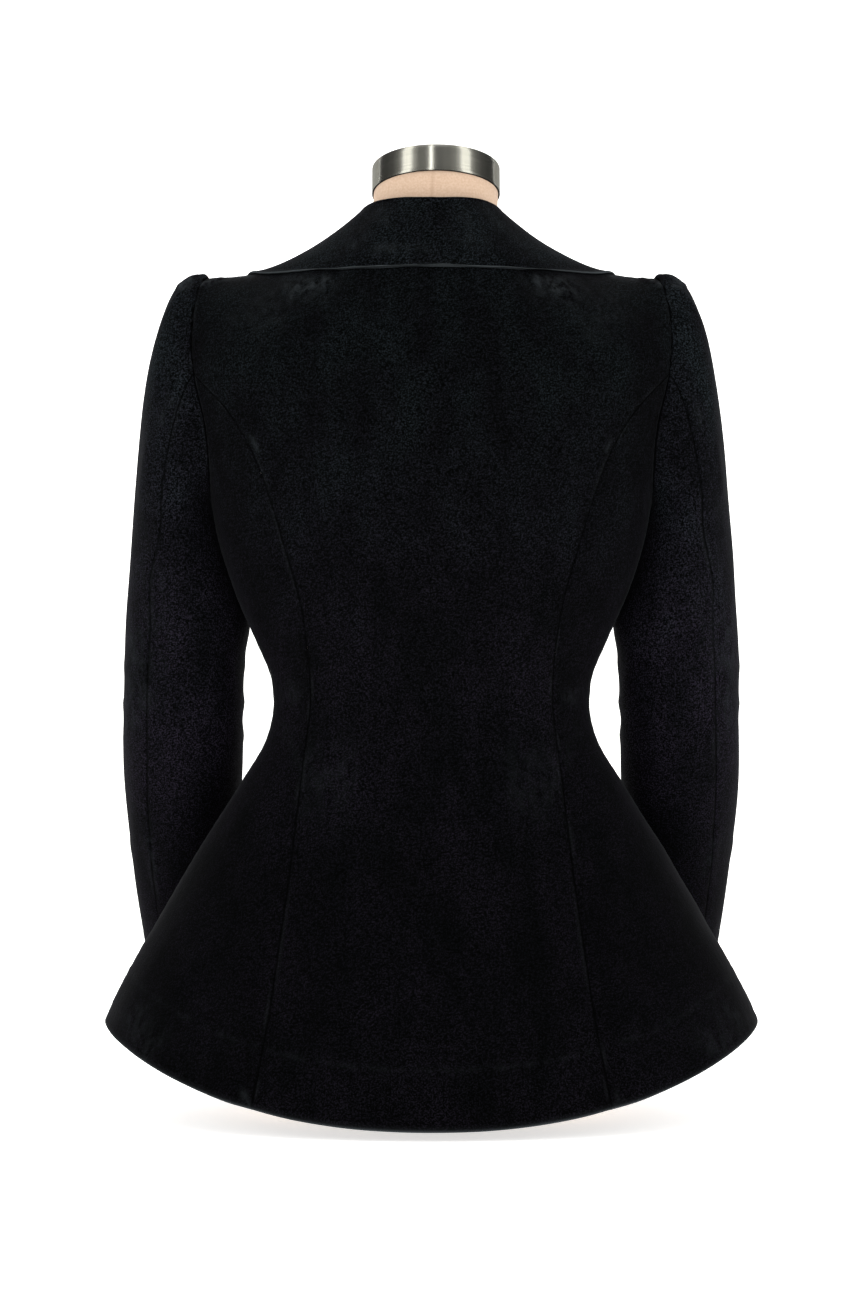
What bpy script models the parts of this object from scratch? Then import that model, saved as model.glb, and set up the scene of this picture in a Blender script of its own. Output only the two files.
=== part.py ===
"""Velvet jacket with a flared skirt and a wide shawl collar, worn on a limbless dress form.

Metres, +Z up. The jacket's front faces -Y and the wearer's left is +X. The origin is on the
floor, under the middle of the dress form's flat base.

The body is one smooth surface through level sections. Seam lines cut it into panels, and every
panel is a wall of cloth 2 mm thick. Angles round the body run from the centre back (0) over the
left side (90 degrees) to the centre front (180 degrees).
"""

import math
from collections import namedtuple
from functools import lru_cache

import bpy
import numpy as np
from mathutils import Vector
from mathutils.bvhtree import BVHTree

# Driving sizes in metres
CLOTH = 0.002
SEAM_GAP = 0.0003
HEM_BACK = 0.0076
HEM_SIDE = 0.0777
HEM_FRONT = 0.0560
HEM_POWER = 2.15
UNDERARM = 0.520
BLADE_LEVEL = 0.6225
CHEST_LEVEL = 0.602
BREAK = 0.500
LAP = 0.015
LAP_LIFT = 0.0013
LAP_FADE = 0.028
BUST = 0.010
FLUTE = 0.003
NECK_HALF = 0.066
NECK_BACK = 0.070
SLEEVE_GAP = 0.0004
SLEEVE_CLEAR = 0.0015
PLEAT = 0.0020
HEAD_PUFF = 0.0036
COLLAR_CLEAR = 0.0034
ROLL_RADIUS = 0.003
FORM_GAP = 0.0007
EDGE_REACH = 0.002
CAP_RADIUS = 0.0543
CAP_HEIGHT = 0.0217
CAP_BEVEL = 0.0012
CAP_TILT = math.radians(15.0)
NECK_SHIFT = -0.0038
NECK_FOOT = 0.700
FORM_ROUNDNESS = 2.1
HIND_TURN = 60.0
FORE_TURN = 235.0
NECK_SHARE = 0.38
YOKE_SHARE = 0.76

# Rows and columns of the walls
BODY_ROWS = 24
ROW_CROWDING = 1.3
HEAD_CROWDING = 1.5
YOKE_ROWS = 7
SIDE_COLUMNS = 5
FRONT_COLUMNS = 8
FORE_STEPS = 2
HEAD_STEPS = 3
TUBE_ROWS = 11
HEAD_ROWS = 7
COLLAR_STEPS = 24
FALL_STEPS = 5
FORM_SIDES = 36
CAP_SIDES = 48

# Level sections of the jacket's body
Section = namedtuple("Section", "height half_width back front roundness")
SECTIONS = (
    Section(0.0000, 0.2985, 0.1920, 0.1780, 2.05),
    Section(0.0777, 0.2772, 0.1710, 0.1600, 2.05),
    Section(0.1500, 0.2395, 0.1490, 0.1420, 2.05),
    Section(0.2157, 0.2020, 0.1260, 0.1240, 2.10),
    Section(0.2826, 0.1602, 0.1020, 0.1060, 2.15),
    Section(0.3158, 0.1405, 0.0920, 0.0985, 2.20),
    Section(0.3410, 0.1343, 0.0870, 0.0950, 2.20),
    Section(0.3668, 0.1356, 0.0870, 0.0960, 2.20),
    Section(0.4008, 0.1492, 0.0905, 0.1010, 2.20),
    Section(0.4399, 0.1662, 0.0960, 0.1080, 2.25),
    Section(0.4841, 0.1802, 0.1020, 0.1180, 2.30),
    Section(0.5342, 0.1900, 0.1080, 0.1290, 2.35),
    Section(0.5800, 0.2000, 0.1115, 0.1310, 2.40),
    Section(0.6225, 0.2120, 0.1130, 0.1240, 2.40),
    Section(0.6600, 0.2140, 0.1100, 0.1080, 2.40),
)

# Seams that run up the body, as half widths from the middle
Seam = namedtuple("Seam", "height half_width")
BACK_PRINCESS = (
    Seam(0.0200, 0.1460),
    Seam(0.0875, 0.1330),
    Seam(0.1456, 0.1247),
    Seam(0.2040, 0.1169),
    Seam(0.2913, 0.1072),
    Seam(0.3540, 0.1009),
    Seam(0.3815, 0.1022),
    Seam(0.4262, 0.1080),
    Seam(0.4769, 0.1217),
    Seam(0.5177, 0.1341),
    Seam(0.5613, 0.1512),
    Seam(0.5922, 0.1705),
    Seam(0.6225, 0.1985),
)
FRONT_PRINCESS = (
    Seam(0.0600, 0.1500),
    Seam(0.1200, 0.1340),
    Seam(0.2040, 0.1150),
    Seam(0.2913, 0.1010),
    Seam(0.3410, 0.0955),
    Seam(0.4008, 0.0965),
    Seam(0.4641, 0.1000),
    Seam(0.5213, 0.1080),
    Seam(0.5513, 0.1240),
    Seam(0.5780, 0.1520),
    Seam(0.6020, 0.1940),
)
FRONT_EDGE = (
    Seam(0.0000, -LAP),
    Seam(0.4400, -LAP),
    Seam(0.4780, -LAP),
    Seam(BREAK, 0.0010),
    Seam(0.5500, 0.0150),
    Seam(0.6020, 0.0310),
)

# Shoulder seam from the neck point to the shoulder point
Shoulder = namedtuple("Shoulder", "half_width depth height")
SHOULDER = (
    Shoulder(0.0660, 0.0120, 0.7420),
    Shoulder(0.1000, 0.0080, 0.7265),
    Shoulder(0.1300, 0.0050, 0.7155),
    Shoulder(0.1600, 0.0020, 0.7094),
    Shoulder(0.1900, 0.0000, 0.7055),
)

# Columns of the back panel: share of its half width, and where each one ends at the top
Column = namedtuple("Column", "share top")
BACK_COLUMNS = (
    Column(0.00, 0.000),
    Column(0.10, 0.028),
    Column(0.19, 0.048),
    Column(0.25, 0.060),
    Column(0.29, 0.066),
    Column(0.41, 0.094),
    Column(0.54, 0.119),
    Column(0.68, 0.144),
    Column(0.83, 0.168),
    Column(1.00, 0.190),
)

# Sleeve tube from the cuff up to the underarm: the middle and half sizes of each ring
Ring = namedtuple("Ring", "along x y z half_width half_depth pitch")
SLEEVE_RINGS = (
    Ring(0.000, 0.2120, -0.1560, 0.1180, 0.0415, 0.0400, 28.0),
    Ring(0.090, 0.2168, -0.1130, 0.2000, 0.0455, 0.0440, 26.0),
    Ring(0.180, 0.2158, -0.0680, 0.2800, 0.0508, 0.0490, 22.0),
    Ring(0.255, 0.2132, -0.0390, 0.3500, 0.0515, 0.0520, 14.0),
    Ring(0.325, 0.2084, -0.0350, 0.4180, 0.0538, 0.0540, 7.0),
    Ring(0.372, 0.2148, -0.0320, 0.4650, 0.0444, 0.0580, 3.0),
    Ring(0.416, 0.2200, -0.0260, 0.5080, 0.0355, 0.0620, 0.0),
)

# How the sleeve head leaves the armhole, by height share up the armhole
HeadLine = namedtuple("HeadLine", "share rise reach lead")
HEAD_LINES = (
    HeadLine(0.00, -0.80, 0.003, 0.004),
    HeadLine(0.30, -0.70, 0.014, 0.022),
    HeadLine(0.55, -0.60, 0.032, 0.045),
    HeadLine(0.80, 0.00, 0.038, 0.070),
    HeadLine(0.93, 0.45, 0.047, 0.086),
    HeadLine(1.00, 0.62, 0.052, 0.092),
)

# Half of the collar, from the centre back round to the front break
Fold = namedtuple("Fold", "along roll_x roll_y roll_z edge_x edge_y edge_z loft")
COLLAR_FOLDS = (
    Fold(0.00, 0.0000, -0.0095, 0.0330, 0.000, 0.104, 0.7085, 0.0090),
    Fold(0.10, -0.0010, -0.0085, 0.0325, 0.062, 0.098, 0.7082, 0.0085),
    Fold(0.18, -0.0045, -0.0065, 0.0300, 0.108, 0.078, 0.7080, 0.0070),
    Fold(0.25, -0.0075, -0.0040, 0.0265, 0.138, 0.048, 0.7090, 0.0070),
    Fold(0.38, -0.0085, -0.0010, 0.0195, 0.156, 0.008, 0.7110, 0.0066),
    Fold(0.54, -0.0085, -0.0060, 0.0145, 0.161, -0.045, 0.6880, 0.0050),
    Fold(0.67, -0.0090, -0.0090, 0.0060, 0.146, -0.095, 0.6350, 0.0046),
    Fold(0.80, -0.0080, -0.0090, 0.0000, 0.114, -0.125, 0.5800, 0.0044),
    Fold(0.92, -0.0060, -0.0075, -0.0030, 0.066, -0.140, 0.5360, 0.0040),
    Fold(0.98, -0.0020, -0.0060, -0.0030, 0.028, -0.140, 0.5090, 0.0038),
)

# Dress form: level sections of the torso, then the tilted neck
FormRing = namedtuple("FormRing", "height middle half_width back front tilt")
FORM_SECTIONS = (
    FormRing(0.0000, 0.000, 0.1380, 0.0930, 0.0900, 0.0),
    FormRing(0.0400, 0.000, 0.1510, 0.1020, 0.0960, 0.0),
    FormRing(0.0900, 0.000, 0.1605, 0.1090, 0.1000, 0.0),
    FormRing(0.1500, 0.000, 0.1640, 0.1110, 0.1010, 0.0),
    FormRing(0.2100, 0.000, 0.1590, 0.1060, 0.0995, 0.0),
    FormRing(0.2600, 0.000, 0.1495, 0.0965, 0.0965, 0.0),
    FormRing(0.3000, 0.000, 0.1380, 0.0870, 0.0930, 0.0),
    FormRing(0.3410, 0.000, 0.1285, 0.0815, 0.0890, 0.0),
    FormRing(0.3750, 0.000, 0.1310, 0.0820, 0.0900, 0.0),
    FormRing(0.4100, 0.000, 0.1450, 0.0850, 0.0950, 0.0),
    FormRing(0.4500, 0.000, 0.1590, 0.0905, 0.1010, 0.0),
    FormRing(0.4900, 0.000, 0.1690, 0.0955, 0.1110, 0.0),
    FormRing(0.5300, 0.000, 0.1730, 0.1005, 0.1200, 0.0),
    FormRing(0.5700, 0.000, 0.1735, 0.1035, 0.1220, 0.0),
    FormRing(0.6100, 0.000, 0.1720, 0.1050, 0.1160, 0.0),
    FormRing(0.6450, 0.001, 0.1680, 0.1020, 0.1020, 0.0),
    FormRing(0.6700, 0.003, 0.1600, 0.0960, 0.0860, 0.0),
    FormRing(0.6900, 0.005, 0.1460, 0.0840, 0.0720, 0.0),
    FormRing(0.7030, 0.008, 0.1260, 0.0700, 0.0640, 0.0),
    FormRing(0.7130, 0.011, 0.0990, 0.0620, 0.0590, 1.0),
    FormRing(0.7220, 0.013, 0.0770, 0.0570, 0.0560, 3.0),
    FormRing(0.7320, 0.013, 0.0630, 0.0550, 0.0540, 5.0),
    FormRing(0.7450, 0.012, 0.0550, 0.0535, 0.0530, 8.0),
    FormRing(0.7600, 0.009, 0.0522, 0.0525, 0.0525, 11.0),
    FormRing(0.7797, 0.0056, 0.0518, 0.0520, 0.0520, 15.0),
)

# Colours, roughness and metallic value of each material
Finish = namedtuple("Finish", "name colour roughness metallic")
VELVET = Finish("black velvet", (0.0045, 0.0045, 0.0060, 1.0), 0.95, 0.0)
FORM_CLOTH = Finish("form cover cloth", (0.745, 0.540, 0.410, 1.0), 0.85, 0.0)
STEEL = Finish("brushed steel", (0.560, 0.555, 0.540, 1.0), 0.30, 1.0)


@lru_cache(maxsize=None)
def sloped(rows):
    """A table's keys, its rows and the slope of each column at each row."""
    table = np.array(rows, float)
    return table[:, 0], table, np.gradient(table, table[:, 0], axis=0)


def smooth(rows, key):
    """Every column of the table at this key, on cubic curves through its rows."""
    keys, table, slopes = sloped(rows)
    key = min(max(key, keys[0]), keys[-1])
    low = min(int(np.searchsorted(keys, key, side="right")) - 1, len(keys) - 2)
    span = keys[low + 1] - keys[low]
    t = (key - keys[low]) / span
    return (
        (2 * t**3 - 3 * t**2 + 1) * table[low]
        + (t**3 - 2 * t**2 + t) * span * slopes[low]
        + (3 * t**2 - 2 * t**3) * table[low + 1]
        + (t**3 - t**2) * span * slopes[low + 1]
    )


def mix(a, b, share):
    """The value or point at this share of the way from a to b."""
    return a + (b - a) * share


def bump(offset, width):
    """A soft hill, 1 at offset 0 and almost nothing past twice the width."""
    return math.exp(-((offset / width) ** 2))


def signed_power(value, power):
    """The power of the value's size, with its sign kept."""
    return math.copysign(abs(value) ** power, value)


def angle_at(half_width, height, front=False):
    """The angle round the body at which its surface is this far from the middle plane."""
    section = Section(*smooth(SECTIONS, height))
    share = min(abs(half_width) / section.half_width, 1.0)
    angle = math.copysign(math.asin(share ** (section.roundness / 2)), half_width)
    return math.pi - angle if front else angle


def body_point(angle, height, side=1):
    """The outer surface of the body. Side 1 lies over at the front closing, side -1 under."""
    section = Section(*smooth(SECTIONS, height))
    power = 2 / section.roundness
    across, along = math.sin(angle), math.cos(angle)
    depth = section.back if along > 0 else section.front
    x = section.half_width * signed_power(across, power)
    y = depth * signed_power(along, power)
    flare = max(0.0, 1 - height / 0.30)
    if along > 0:
        seam = Seam(*smooth(BACK_PRINCESS, height)).half_width
        y += FLUTE * flare * bump(abs(x) - seam - 0.022, 0.020)
        y -= FLUTE * flare * bump(abs(x) - seam, 0.014)
    else:
        y -= BUST * bump(abs(x) - 0.088, 0.048) * bump(height - 0.540, 0.060)
        closing = min(1.0, max(0.0, (0.56 - height) / 0.06))
        y -= side * LAP_LIFT * closing * min(1.0, bump(max(0.0, abs(x) - LAP), LAP_FADE / 2))
    return Vector((x, y, height))


def body_normal(angle, height, side=1):
    """The outward normal of the body's surface."""
    turn, rise = 1e-3, 5e-4
    across = body_point(angle + turn, height, side) - body_point(angle - turn, height, side)
    up = body_point(angle, height + rise, side) - body_point(angle, height - rise, side)
    return across.cross(up).normalized() * -1.0


def hem_height(angle):
    """The hem dips from the sides to the centre back, and a little to the front."""
    middle = HEM_BACK if math.cos(angle) > 0 else HEM_FRONT
    return middle + (HEM_SIDE - middle) * abs(math.sin(angle)) ** HEM_POWER


class SeamLine:
    """A line up the body from the hem to a height: a table's half widths, or one fixed angle."""

    def __init__(self, top, rows=None, front=False, fixed=0.0):
        self.top, self.rows, self.front, self.fixed = top, rows, front, fixed
        self.foot = HEM_SIDE
        for _ in range(20):
            self.foot = hem_height(self.angle(self.foot))

    def angle(self, height):
        """The angle round the body at this height."""
        if self.rows is None:
            return self.fixed
        return angle_at(Seam(*smooth(self.rows, height)).half_width, height, self.front)

    def at(self, share):
        """The angle at this share of the seam's height."""
        return self.angle(mix(self.foot, self.top, share))


MIDDLE = SeamLine(BLADE_LEVEL)
BACK_SEAM = SeamLine(BLADE_LEVEL, BACK_PRINCESS)
SIDE_SEAM = SeamLine(UNDERARM, fixed=math.pi / 2)
FRONT_SEAM = SeamLine(CHEST_LEVEL, FRONT_PRINCESS, front=True)
CLOSING = SeamLine(CHEST_LEVEL, FRONT_EDGE, front=True)


def crown_height(angle):
    """The top of the panels below the yoke: level, with the armhole's lower curve cut out."""
    if angle <= BACK_SEAM.at(1):
        return BLADE_LEVEL
    if angle >= FRONT_SEAM.at(1):
        return CHEST_LEVEL
    end, level = (BACK_SEAM.at(1), BLADE_LEVEL)
    if angle > math.pi / 2:
        end, level = (FRONT_SEAM.at(1), CHEST_LEVEL)
    share = min(1.0, abs(angle - math.pi / 2) / abs(end - math.pi / 2))
    return UNDERARM + (level - UNDERARM) * (1 - math.sqrt(1 - share**2))


def lower_grid(first, last, shares, side=1, arm_end=None):
    """Points and normals between two lines. The columns crowd to the armhole's steep end."""
    grid = []
    for row in range(BODY_ROWS + 1):
        t = 1 - (1 - row / BODY_ROWS) ** ROW_CROWDING
        line = []
        for share in shares:
            foot = mix(first.at(0), last.at(0), share)
            top_share = share
            if arm_end == "first":
                top_share = 1 - math.sin((1 - share) * math.pi / 2)
            elif arm_end == "last":
                top_share = math.sin(share * math.pi / 2)
            top = mix(first.at(1), last.at(1), top_share)
            angle = mix(first.at(t), last.at(t), mix(share, top_share, t**2))
            height = mix(hem_height(foot), crown_height(top), t)
            line.append((body_point(angle, height, side), body_normal(angle, height, side)))
        grid.append(line)
    return grid


def shoulder_point(half_width):
    """The shoulder seam at this distance from the middle."""
    x, y, z = smooth(SHOULDER, half_width)
    return Vector((x, y, z))


def neck_point(half_width):
    """The back neckline at this distance from the middle."""
    share = min(1.0, half_width / NECK_HALF)
    neck = shoulder_point(NECK_HALF)
    y = neck.y + NECK_BACK * math.sqrt(max(0.0, 1 - share**2))
    return Vector((half_width, y, neck.z - 0.007 * (1 - share**2)))


def hermite(start, start_pull, end, end_pull, t):
    """A point on the cubic curve with these ends and pulls."""
    return (
        start * (2 * t**3 - 3 * t**2 + 1)
        + start_pull * (t**3 - 2 * t**2 + t)
        + end * (3 * t**2 - 2 * t**3)
        + end_pull * (t**3 - t**2)
    )


def yoke_point(angle, top, pull, level, t):
    """Above the chest each column curves from its level section over to its top point."""
    start = body_point(angle, level)
    up = body_point(angle, level) - body_point(angle, level - 0.004)
    length = (top - start).length
    return hermite(start, up.normalized() * length, top, pull * length, t)


def back_yoke(share, t):
    """The back above the blades, at this share of the half width."""
    rows = np.array(BACK_COLUMNS)
    half_width = float(np.interp(abs(share), rows[:, 0], rows[:, 1]))
    angle = abs(share) * BACK_SEAM.at(1)
    if half_width < NECK_HALF:
        top = neck_point(half_width)
        lean = (half_width / NECK_HALF) ** 2
        pull = Vector((0, mix(-0.35, -0.75, lean), mix(0.75, 0.0, lean)))
    else:
        top = shoulder_point(half_width)
        pull = Vector((0, -0.75, 0))
    point = yoke_point(angle, top, pull, BLADE_LEVEL, t)
    return Vector((math.copysign(point.x, share), point.y, point.z))


def front_yoke(share, t):
    """The front above the chest, from the neckline (share 0) to the armhole (share 1)."""
    angle = mix(CLOSING.at(1), FRONT_SEAM.at(1), share)
    top = shoulder_point(mix(NECK_HALF, SHOULDER[-1].half_width, share))
    pull = Vector((0, 0.70, 0))
    return yoke_point(angle, top, pull, CHEST_LEVEL, t)


def yoke_grid(surface, shares, turn):
    """Points and normals of a yoke, in rows from just above its level up to the shoulder."""
    step = 1e-3
    grid = []
    for row in range(1, YOKE_ROWS + 1):
        t = row / YOKE_ROWS
        line = []
        for share in shares:
            low = min(max(share, step - 1), 1 - step)
            across = surface(low + step, t) - surface(low - step, t)
            up = surface(share, t + step) - surface(share, t - step)
            line.append((surface(share, t), across.cross(up).normalized() * turn))
        grid.append(line)
    return grid


def split(grid):
    """The grid's points and its normals, as two arrays."""
    points = np.array([[tuple(point) for point, _ in line] for line in grid])
    normals = np.array([[tuple(normal) for _, normal in line] for line in grid])
    return points, normals


def unit(vectors):
    """The vectors at length 1."""
    return vectors / np.linalg.norm(vectors, axis=-1, keepdims=True)


def mirrored(grid):
    """Points and normals on the other side, in the order that keeps the faces outward."""
    return tuple(part[:, ::-1] * np.array([-1.0, 1.0, 1.0]) for part in grid)


def drawn_in(points, gap):
    """The grid with each of its four edges moved in by the gap, square to the edge."""
    points = points.copy()
    for axis in (0, 1):
        lines = np.moveaxis(points, axis, 0)
        for edge, near in ((0, 1), (-1, -2)):
            along = unit(np.gradient(lines[edge], axis=0))
            inward = lines[near] - lines[edge]
            inward -= along * np.sum(inward * along, axis=-1, keepdims=True)
            lines[edge] += unit(inward) * gap
    return points


def material(finish):
    """The Principled material of a finish."""
    made = bpy.data.materials.get(finish.name) or bpy.data.materials.new(finish.name)
    made.use_nodes = True
    shader = made.node_tree.nodes["Principled BSDF"]
    shader.inputs["Base Color"].default_value = finish.colour
    shader.inputs["Roughness"].default_value = finish.roughness
    shader.inputs["Metallic"].default_value = finish.metallic
    return made


def mesh_object(name, points, faces, finish):
    """A named object from points and faces, smooth but for its sharp edges."""
    mesh = bpy.data.meshes.new(name)
    mesh.from_pydata([tuple(point) for point in points], [], faces)
    mesh.materials.append(material(finish))
    mesh.shade_smooth()
    mesh.set_sharp_from_angle(angle=math.radians(40))
    made = bpy.data.objects.new(name, mesh)
    bpy.context.scene.collection.objects.link(made)
    return made


def wall(name, points, normals, finish=VELVET):
    """A sheet of cloth: the outer points, the same moved in by its thickness, and four edges.

    Rows run up and columns run leftwards, as seen from outside.
    """
    outer = drawn_in(points, SEAM_GAP / 2)
    inner = drawn_in(points - normals * CLOTH, SEAM_GAP / 2)
    rows, columns = outer.shape[:2]

    def spot(row, column, layer):
        return (layer * rows + row) * columns + column

    faces = []
    for r in range(rows - 1):
        for c in range(columns - 1):
            square = ((r, c), (r + 1, c), (r + 1, c + 1), (r, c + 1))
            rising = np.linalg.norm(points[r, c] - points[r + 1, c + 1])
            falling = np.linalg.norm(points[r + 1, c] - points[r, c + 1])
            first = 0 if rising < falling else 1
            for corners in ((0, 1, 2), (0, 2, 3)):
                three = [square[(first + corner) % 4] for corner in corners]
                faces.append([spot(*corner, 0) for corner in three])
                faces.append([spot(*corner, 1) for corner in reversed(three)])
    border = [(0, c) for c in range(columns)]
    border += [(r, columns - 1) for r in range(1, rows)]
    border += [(rows - 1, c) for c in range(columns - 2, -1, -1)]
    border += [(r, 0) for r in range(rows - 2, 0, -1)]
    for here, after in zip(border, border[1:] + border[:1]):
        rim = [spot(*here, 0), spot(*after, 0), spot(*after, 1), spot(*here, 1)]
        falling = np.linalg.norm(outer[here] - inner[after])
        rising = np.linalg.norm(outer[after] - inner[here])
        if rising < falling:
            rim = rim[1:] + rim[:1]
        faces += [[rim[0], rim[1], rim[2]], [rim[0], rim[2], rim[3]]]
    both = np.concatenate([outer.reshape(-1, 3), inner.reshape(-1, 3)])
    return mesh_object(name, both, faces, finish)


def even(count):
    """Shares from 0 to 1."""
    return [i / count for i in range(count + 1)]


def build_body():
    """The outer grids of the body panels of the left half, and of the whole back."""
    half = [column.share for column in BACK_COLUMNS]
    shares = [-share for share in reversed(half[1:])] + half
    back = lower_grid(MIDDLE, BACK_SEAM, shares) + yoke_grid(back_yoke, shares, -1.0)
    grids = {"back": split(back)}
    columns = even(SIDE_COLUMNS)
    grids["side_back"] = split(lower_grid(BACK_SEAM, SIDE_SEAM, columns, arm_end="first"))
    grids["side_front"] = split(lower_grid(SIDE_SEAM, FRONT_SEAM, columns, arm_end="last"))
    columns = even(FRONT_COLUMNS)
    for name, side in (("front_over", 1), ("front_under", -1)):
        front = lower_grid(FRONT_SEAM, CLOSING, columns, side)
        front += yoke_grid(front_yoke, [1 - share for share in columns], 1.0)
        grids[name] = split(front)
    return grids


def surface_tree(grids):
    """The outer surface of some grids, for finding the nearest point on it."""
    points, faces = [], []
    for outer, _ in grids:
        rows, columns = outer.shape[:2]
        base = len(points)
        points.extend(Vector(point) for point in outer.reshape(-1, 3))
        for r in range(rows - 1):
            for c in range(columns - 1):
                low = base + r * columns + c
                faces.append((low, low + columns, low + columns + 1, low + 1))
    return BVHTree.FromPolygons(points, faces)


def held_off(tree, point, gap):
    """The point, moved out where it is nearer to the surface than the gap."""
    near, normal, _, _ = tree.find_nearest(point)
    rise = (point - near).dot(normal)
    beside = (point - near - normal * rise).length
    return near + normal * gap if rise < gap and beside < EDGE_REACH else point


def laid(tree, point, lift):
    """The surface's nearest point, moved out by the lift."""
    near, normal, _, _ = tree.find_nearest(point)
    return near + normal * lift


def armhole_loop(grids):
    """The armhole from the shoulder point down the back, under the arm and up the front."""
    back, side_back = grids["back"][0], grids["side_back"][0]
    side_front, front = grids["side_front"][0], grids["front_under"][0]
    loop = [back[-1 - step, -1] for step in range(YOKE_ROWS + 1)]
    loop += [side_back[-1, step] for step in range(1, SIDE_COLUMNS + 1)]
    loop += [side_front[-1, step] for step in range(1, SIDE_COLUMNS + 1)]
    loop += [front[BODY_ROWS + step, 0] for step in range(1, YOKE_ROWS)]
    return [Vector(point) for point in loop]


def sleeve_columns(loop):
    """The points round the armhole where the sleeve's columns end, and each one's turn.

    The turn runs from the outer side (0) over the back (90 degrees) to the body (180). The
    columns are twice as close over the head, on the middles of the armhole's edges.
    """
    hind, under = YOKE_ROWS, YOKE_ROWS + SIDE_COLUMNS
    fore, front = under + FORE_STEPS, under + SIDE_COLUMNS
    anchors = ((0, 0.0), (hind, HIND_TURN), (under, 178.0), (fore, FORE_TURN), (front, 290.0))
    anchors += ((len(loop), 360.0),)
    spots = []
    for step, point in enumerate(loop):
        after = loop[(step + 1) % len(loop)]
        spots.append((step, point))
        if step < HEAD_STEPS or step >= len(loop) - HEAD_STEPS:
            spots.append((step + 0.5, (point + after) / 2))
    steps, turns = zip(*anchors)
    marks = [step for step, _ in spots]
    ends = [point for _, point in spots]
    turn = [math.radians(value) for value in np.interp(marks, steps, turns)]
    return ends, turn, marks.index(hind), marks.index(fore)


def ring_point(along, turn):
    """A point of the sleeve's tube below the underarm."""
    ring = Ring(*smooth(SLEEVE_RINGS, along))
    pitch = math.radians(ring.pitch)
    back = ring.half_depth * math.sin(turn)
    x = ring.x + ring.half_width * math.cos(turn)
    return Vector((x, ring.y + back * math.cos(pitch), ring.z - back * math.sin(pitch)))


def head_point(turn, end, t, step):
    """A point of the sleeve's head, from the underarm ring (0) to the armhole (1)."""
    top = SLEEVE_RINGS[-1].along
    start = ring_point(top, turn)
    up = (start - ring_point(top - 0.01, turn)).normalized()
    shoulder = SHOULDER[-1].height
    line = HeadLine(*smooth(HEAD_LINES, (end.z - UNDERARM) / (shoulder - UNDERARM)))
    end = end + Vector((SLEEVE_GAP, 0, 0))
    away = Vector((1.0, 0.25 * math.sin(turn), line.rise)).normalized()
    first = start + up * line.lead
    second = end + away * line.reach
    point = start * (1 - t) ** 3 + first * 3 * t * (1 - t) ** 2
    point += second * 3 * t**2 * (1 - t) + end * t**3
    crown = bump(math.sin(turn), 0.75) * max(0.0, math.cos(turn))
    depth = PLEAT * crown * bump(t - 0.86, 0.12)
    puff = Vector((0, 0, HEAD_PUFF * crown * bump(t - 0.93, 0.08)))
    return point + puff + away * depth * (1 if step % 2 else -1)


def build_sleeve(grids):
    """The outer grid of the left sleeve, all round, and the columns of its two seams."""
    body = [grids[name] for name in ("back", "side_back", "side_front", "front_under")]
    tree = surface_tree(body)
    ends, turns, hind, fore = sleeve_columns(armhole_loop(grids))
    top = SLEEVE_RINGS[-1].along
    rows = []
    for row in range(TUBE_ROWS + 1):
        along = top * row / TUBE_ROWS
        line = [held_off(tree, ring_point(along, turn), SLEEVE_CLEAR) for turn in turns]
        rows.append(line)
    for row in range(1, HEAD_ROWS + 1):
        t = 1 - (1 - row / HEAD_ROWS) ** HEAD_CROWDING
        line = []
        for step, (turn, end) in enumerate(zip(turns, ends)):
            point = head_point(turn, end, t, step)
            gap = min(SLEEVE_CLEAR, 0.3 * (point - end).length)
            line.append(held_off(tree, point, gap) if row < HEAD_ROWS else point)
        rows.append(line)
    points = np.array([[tuple(point) for point in line] for line in rows])
    across = np.roll(points, -1, axis=1) - np.roll(points, 1, axis=1)
    up = np.gradient(points, axis=0)
    return points, unit(np.cross(across, up)), hind, fore


def sleeve_walls(grids):
    """The top and under pieces of both two-piece sleeves."""
    points, normals, hind, fore = build_sleeve(grids)
    count = points.shape[1]
    pieces = {
        "under_sleeve": range(hind, fore + 1),
        "top_sleeve": range(fore, count + hind + 1),
    }
    for name, columns in pieces.items():
        order = [column % count for column in reversed(columns)]
        grid = (points[:, order], normals[:, order])
        wall(name + "_left", *grid)
        wall(name + "_right", *mirrored(grid))


def neckline_point(along, side):
    """The neckline from the centre back (0) past the neck point to the front break (1)."""
    if along <= NECK_SHARE:
        return neck_point(NECK_HALF * math.sin(along / NECK_SHARE * math.pi / 2))
    if along <= YOKE_SHARE:
        return front_yoke(0.0, (YOKE_SHARE - along) / (YOKE_SHARE - NECK_SHARE))
    height = mix(CHEST_LEVEL, BREAK, (along - YOKE_SHARE) / (1 - YOKE_SHARE))
    return body_point(CLOSING.angle(height), height, side)


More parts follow.
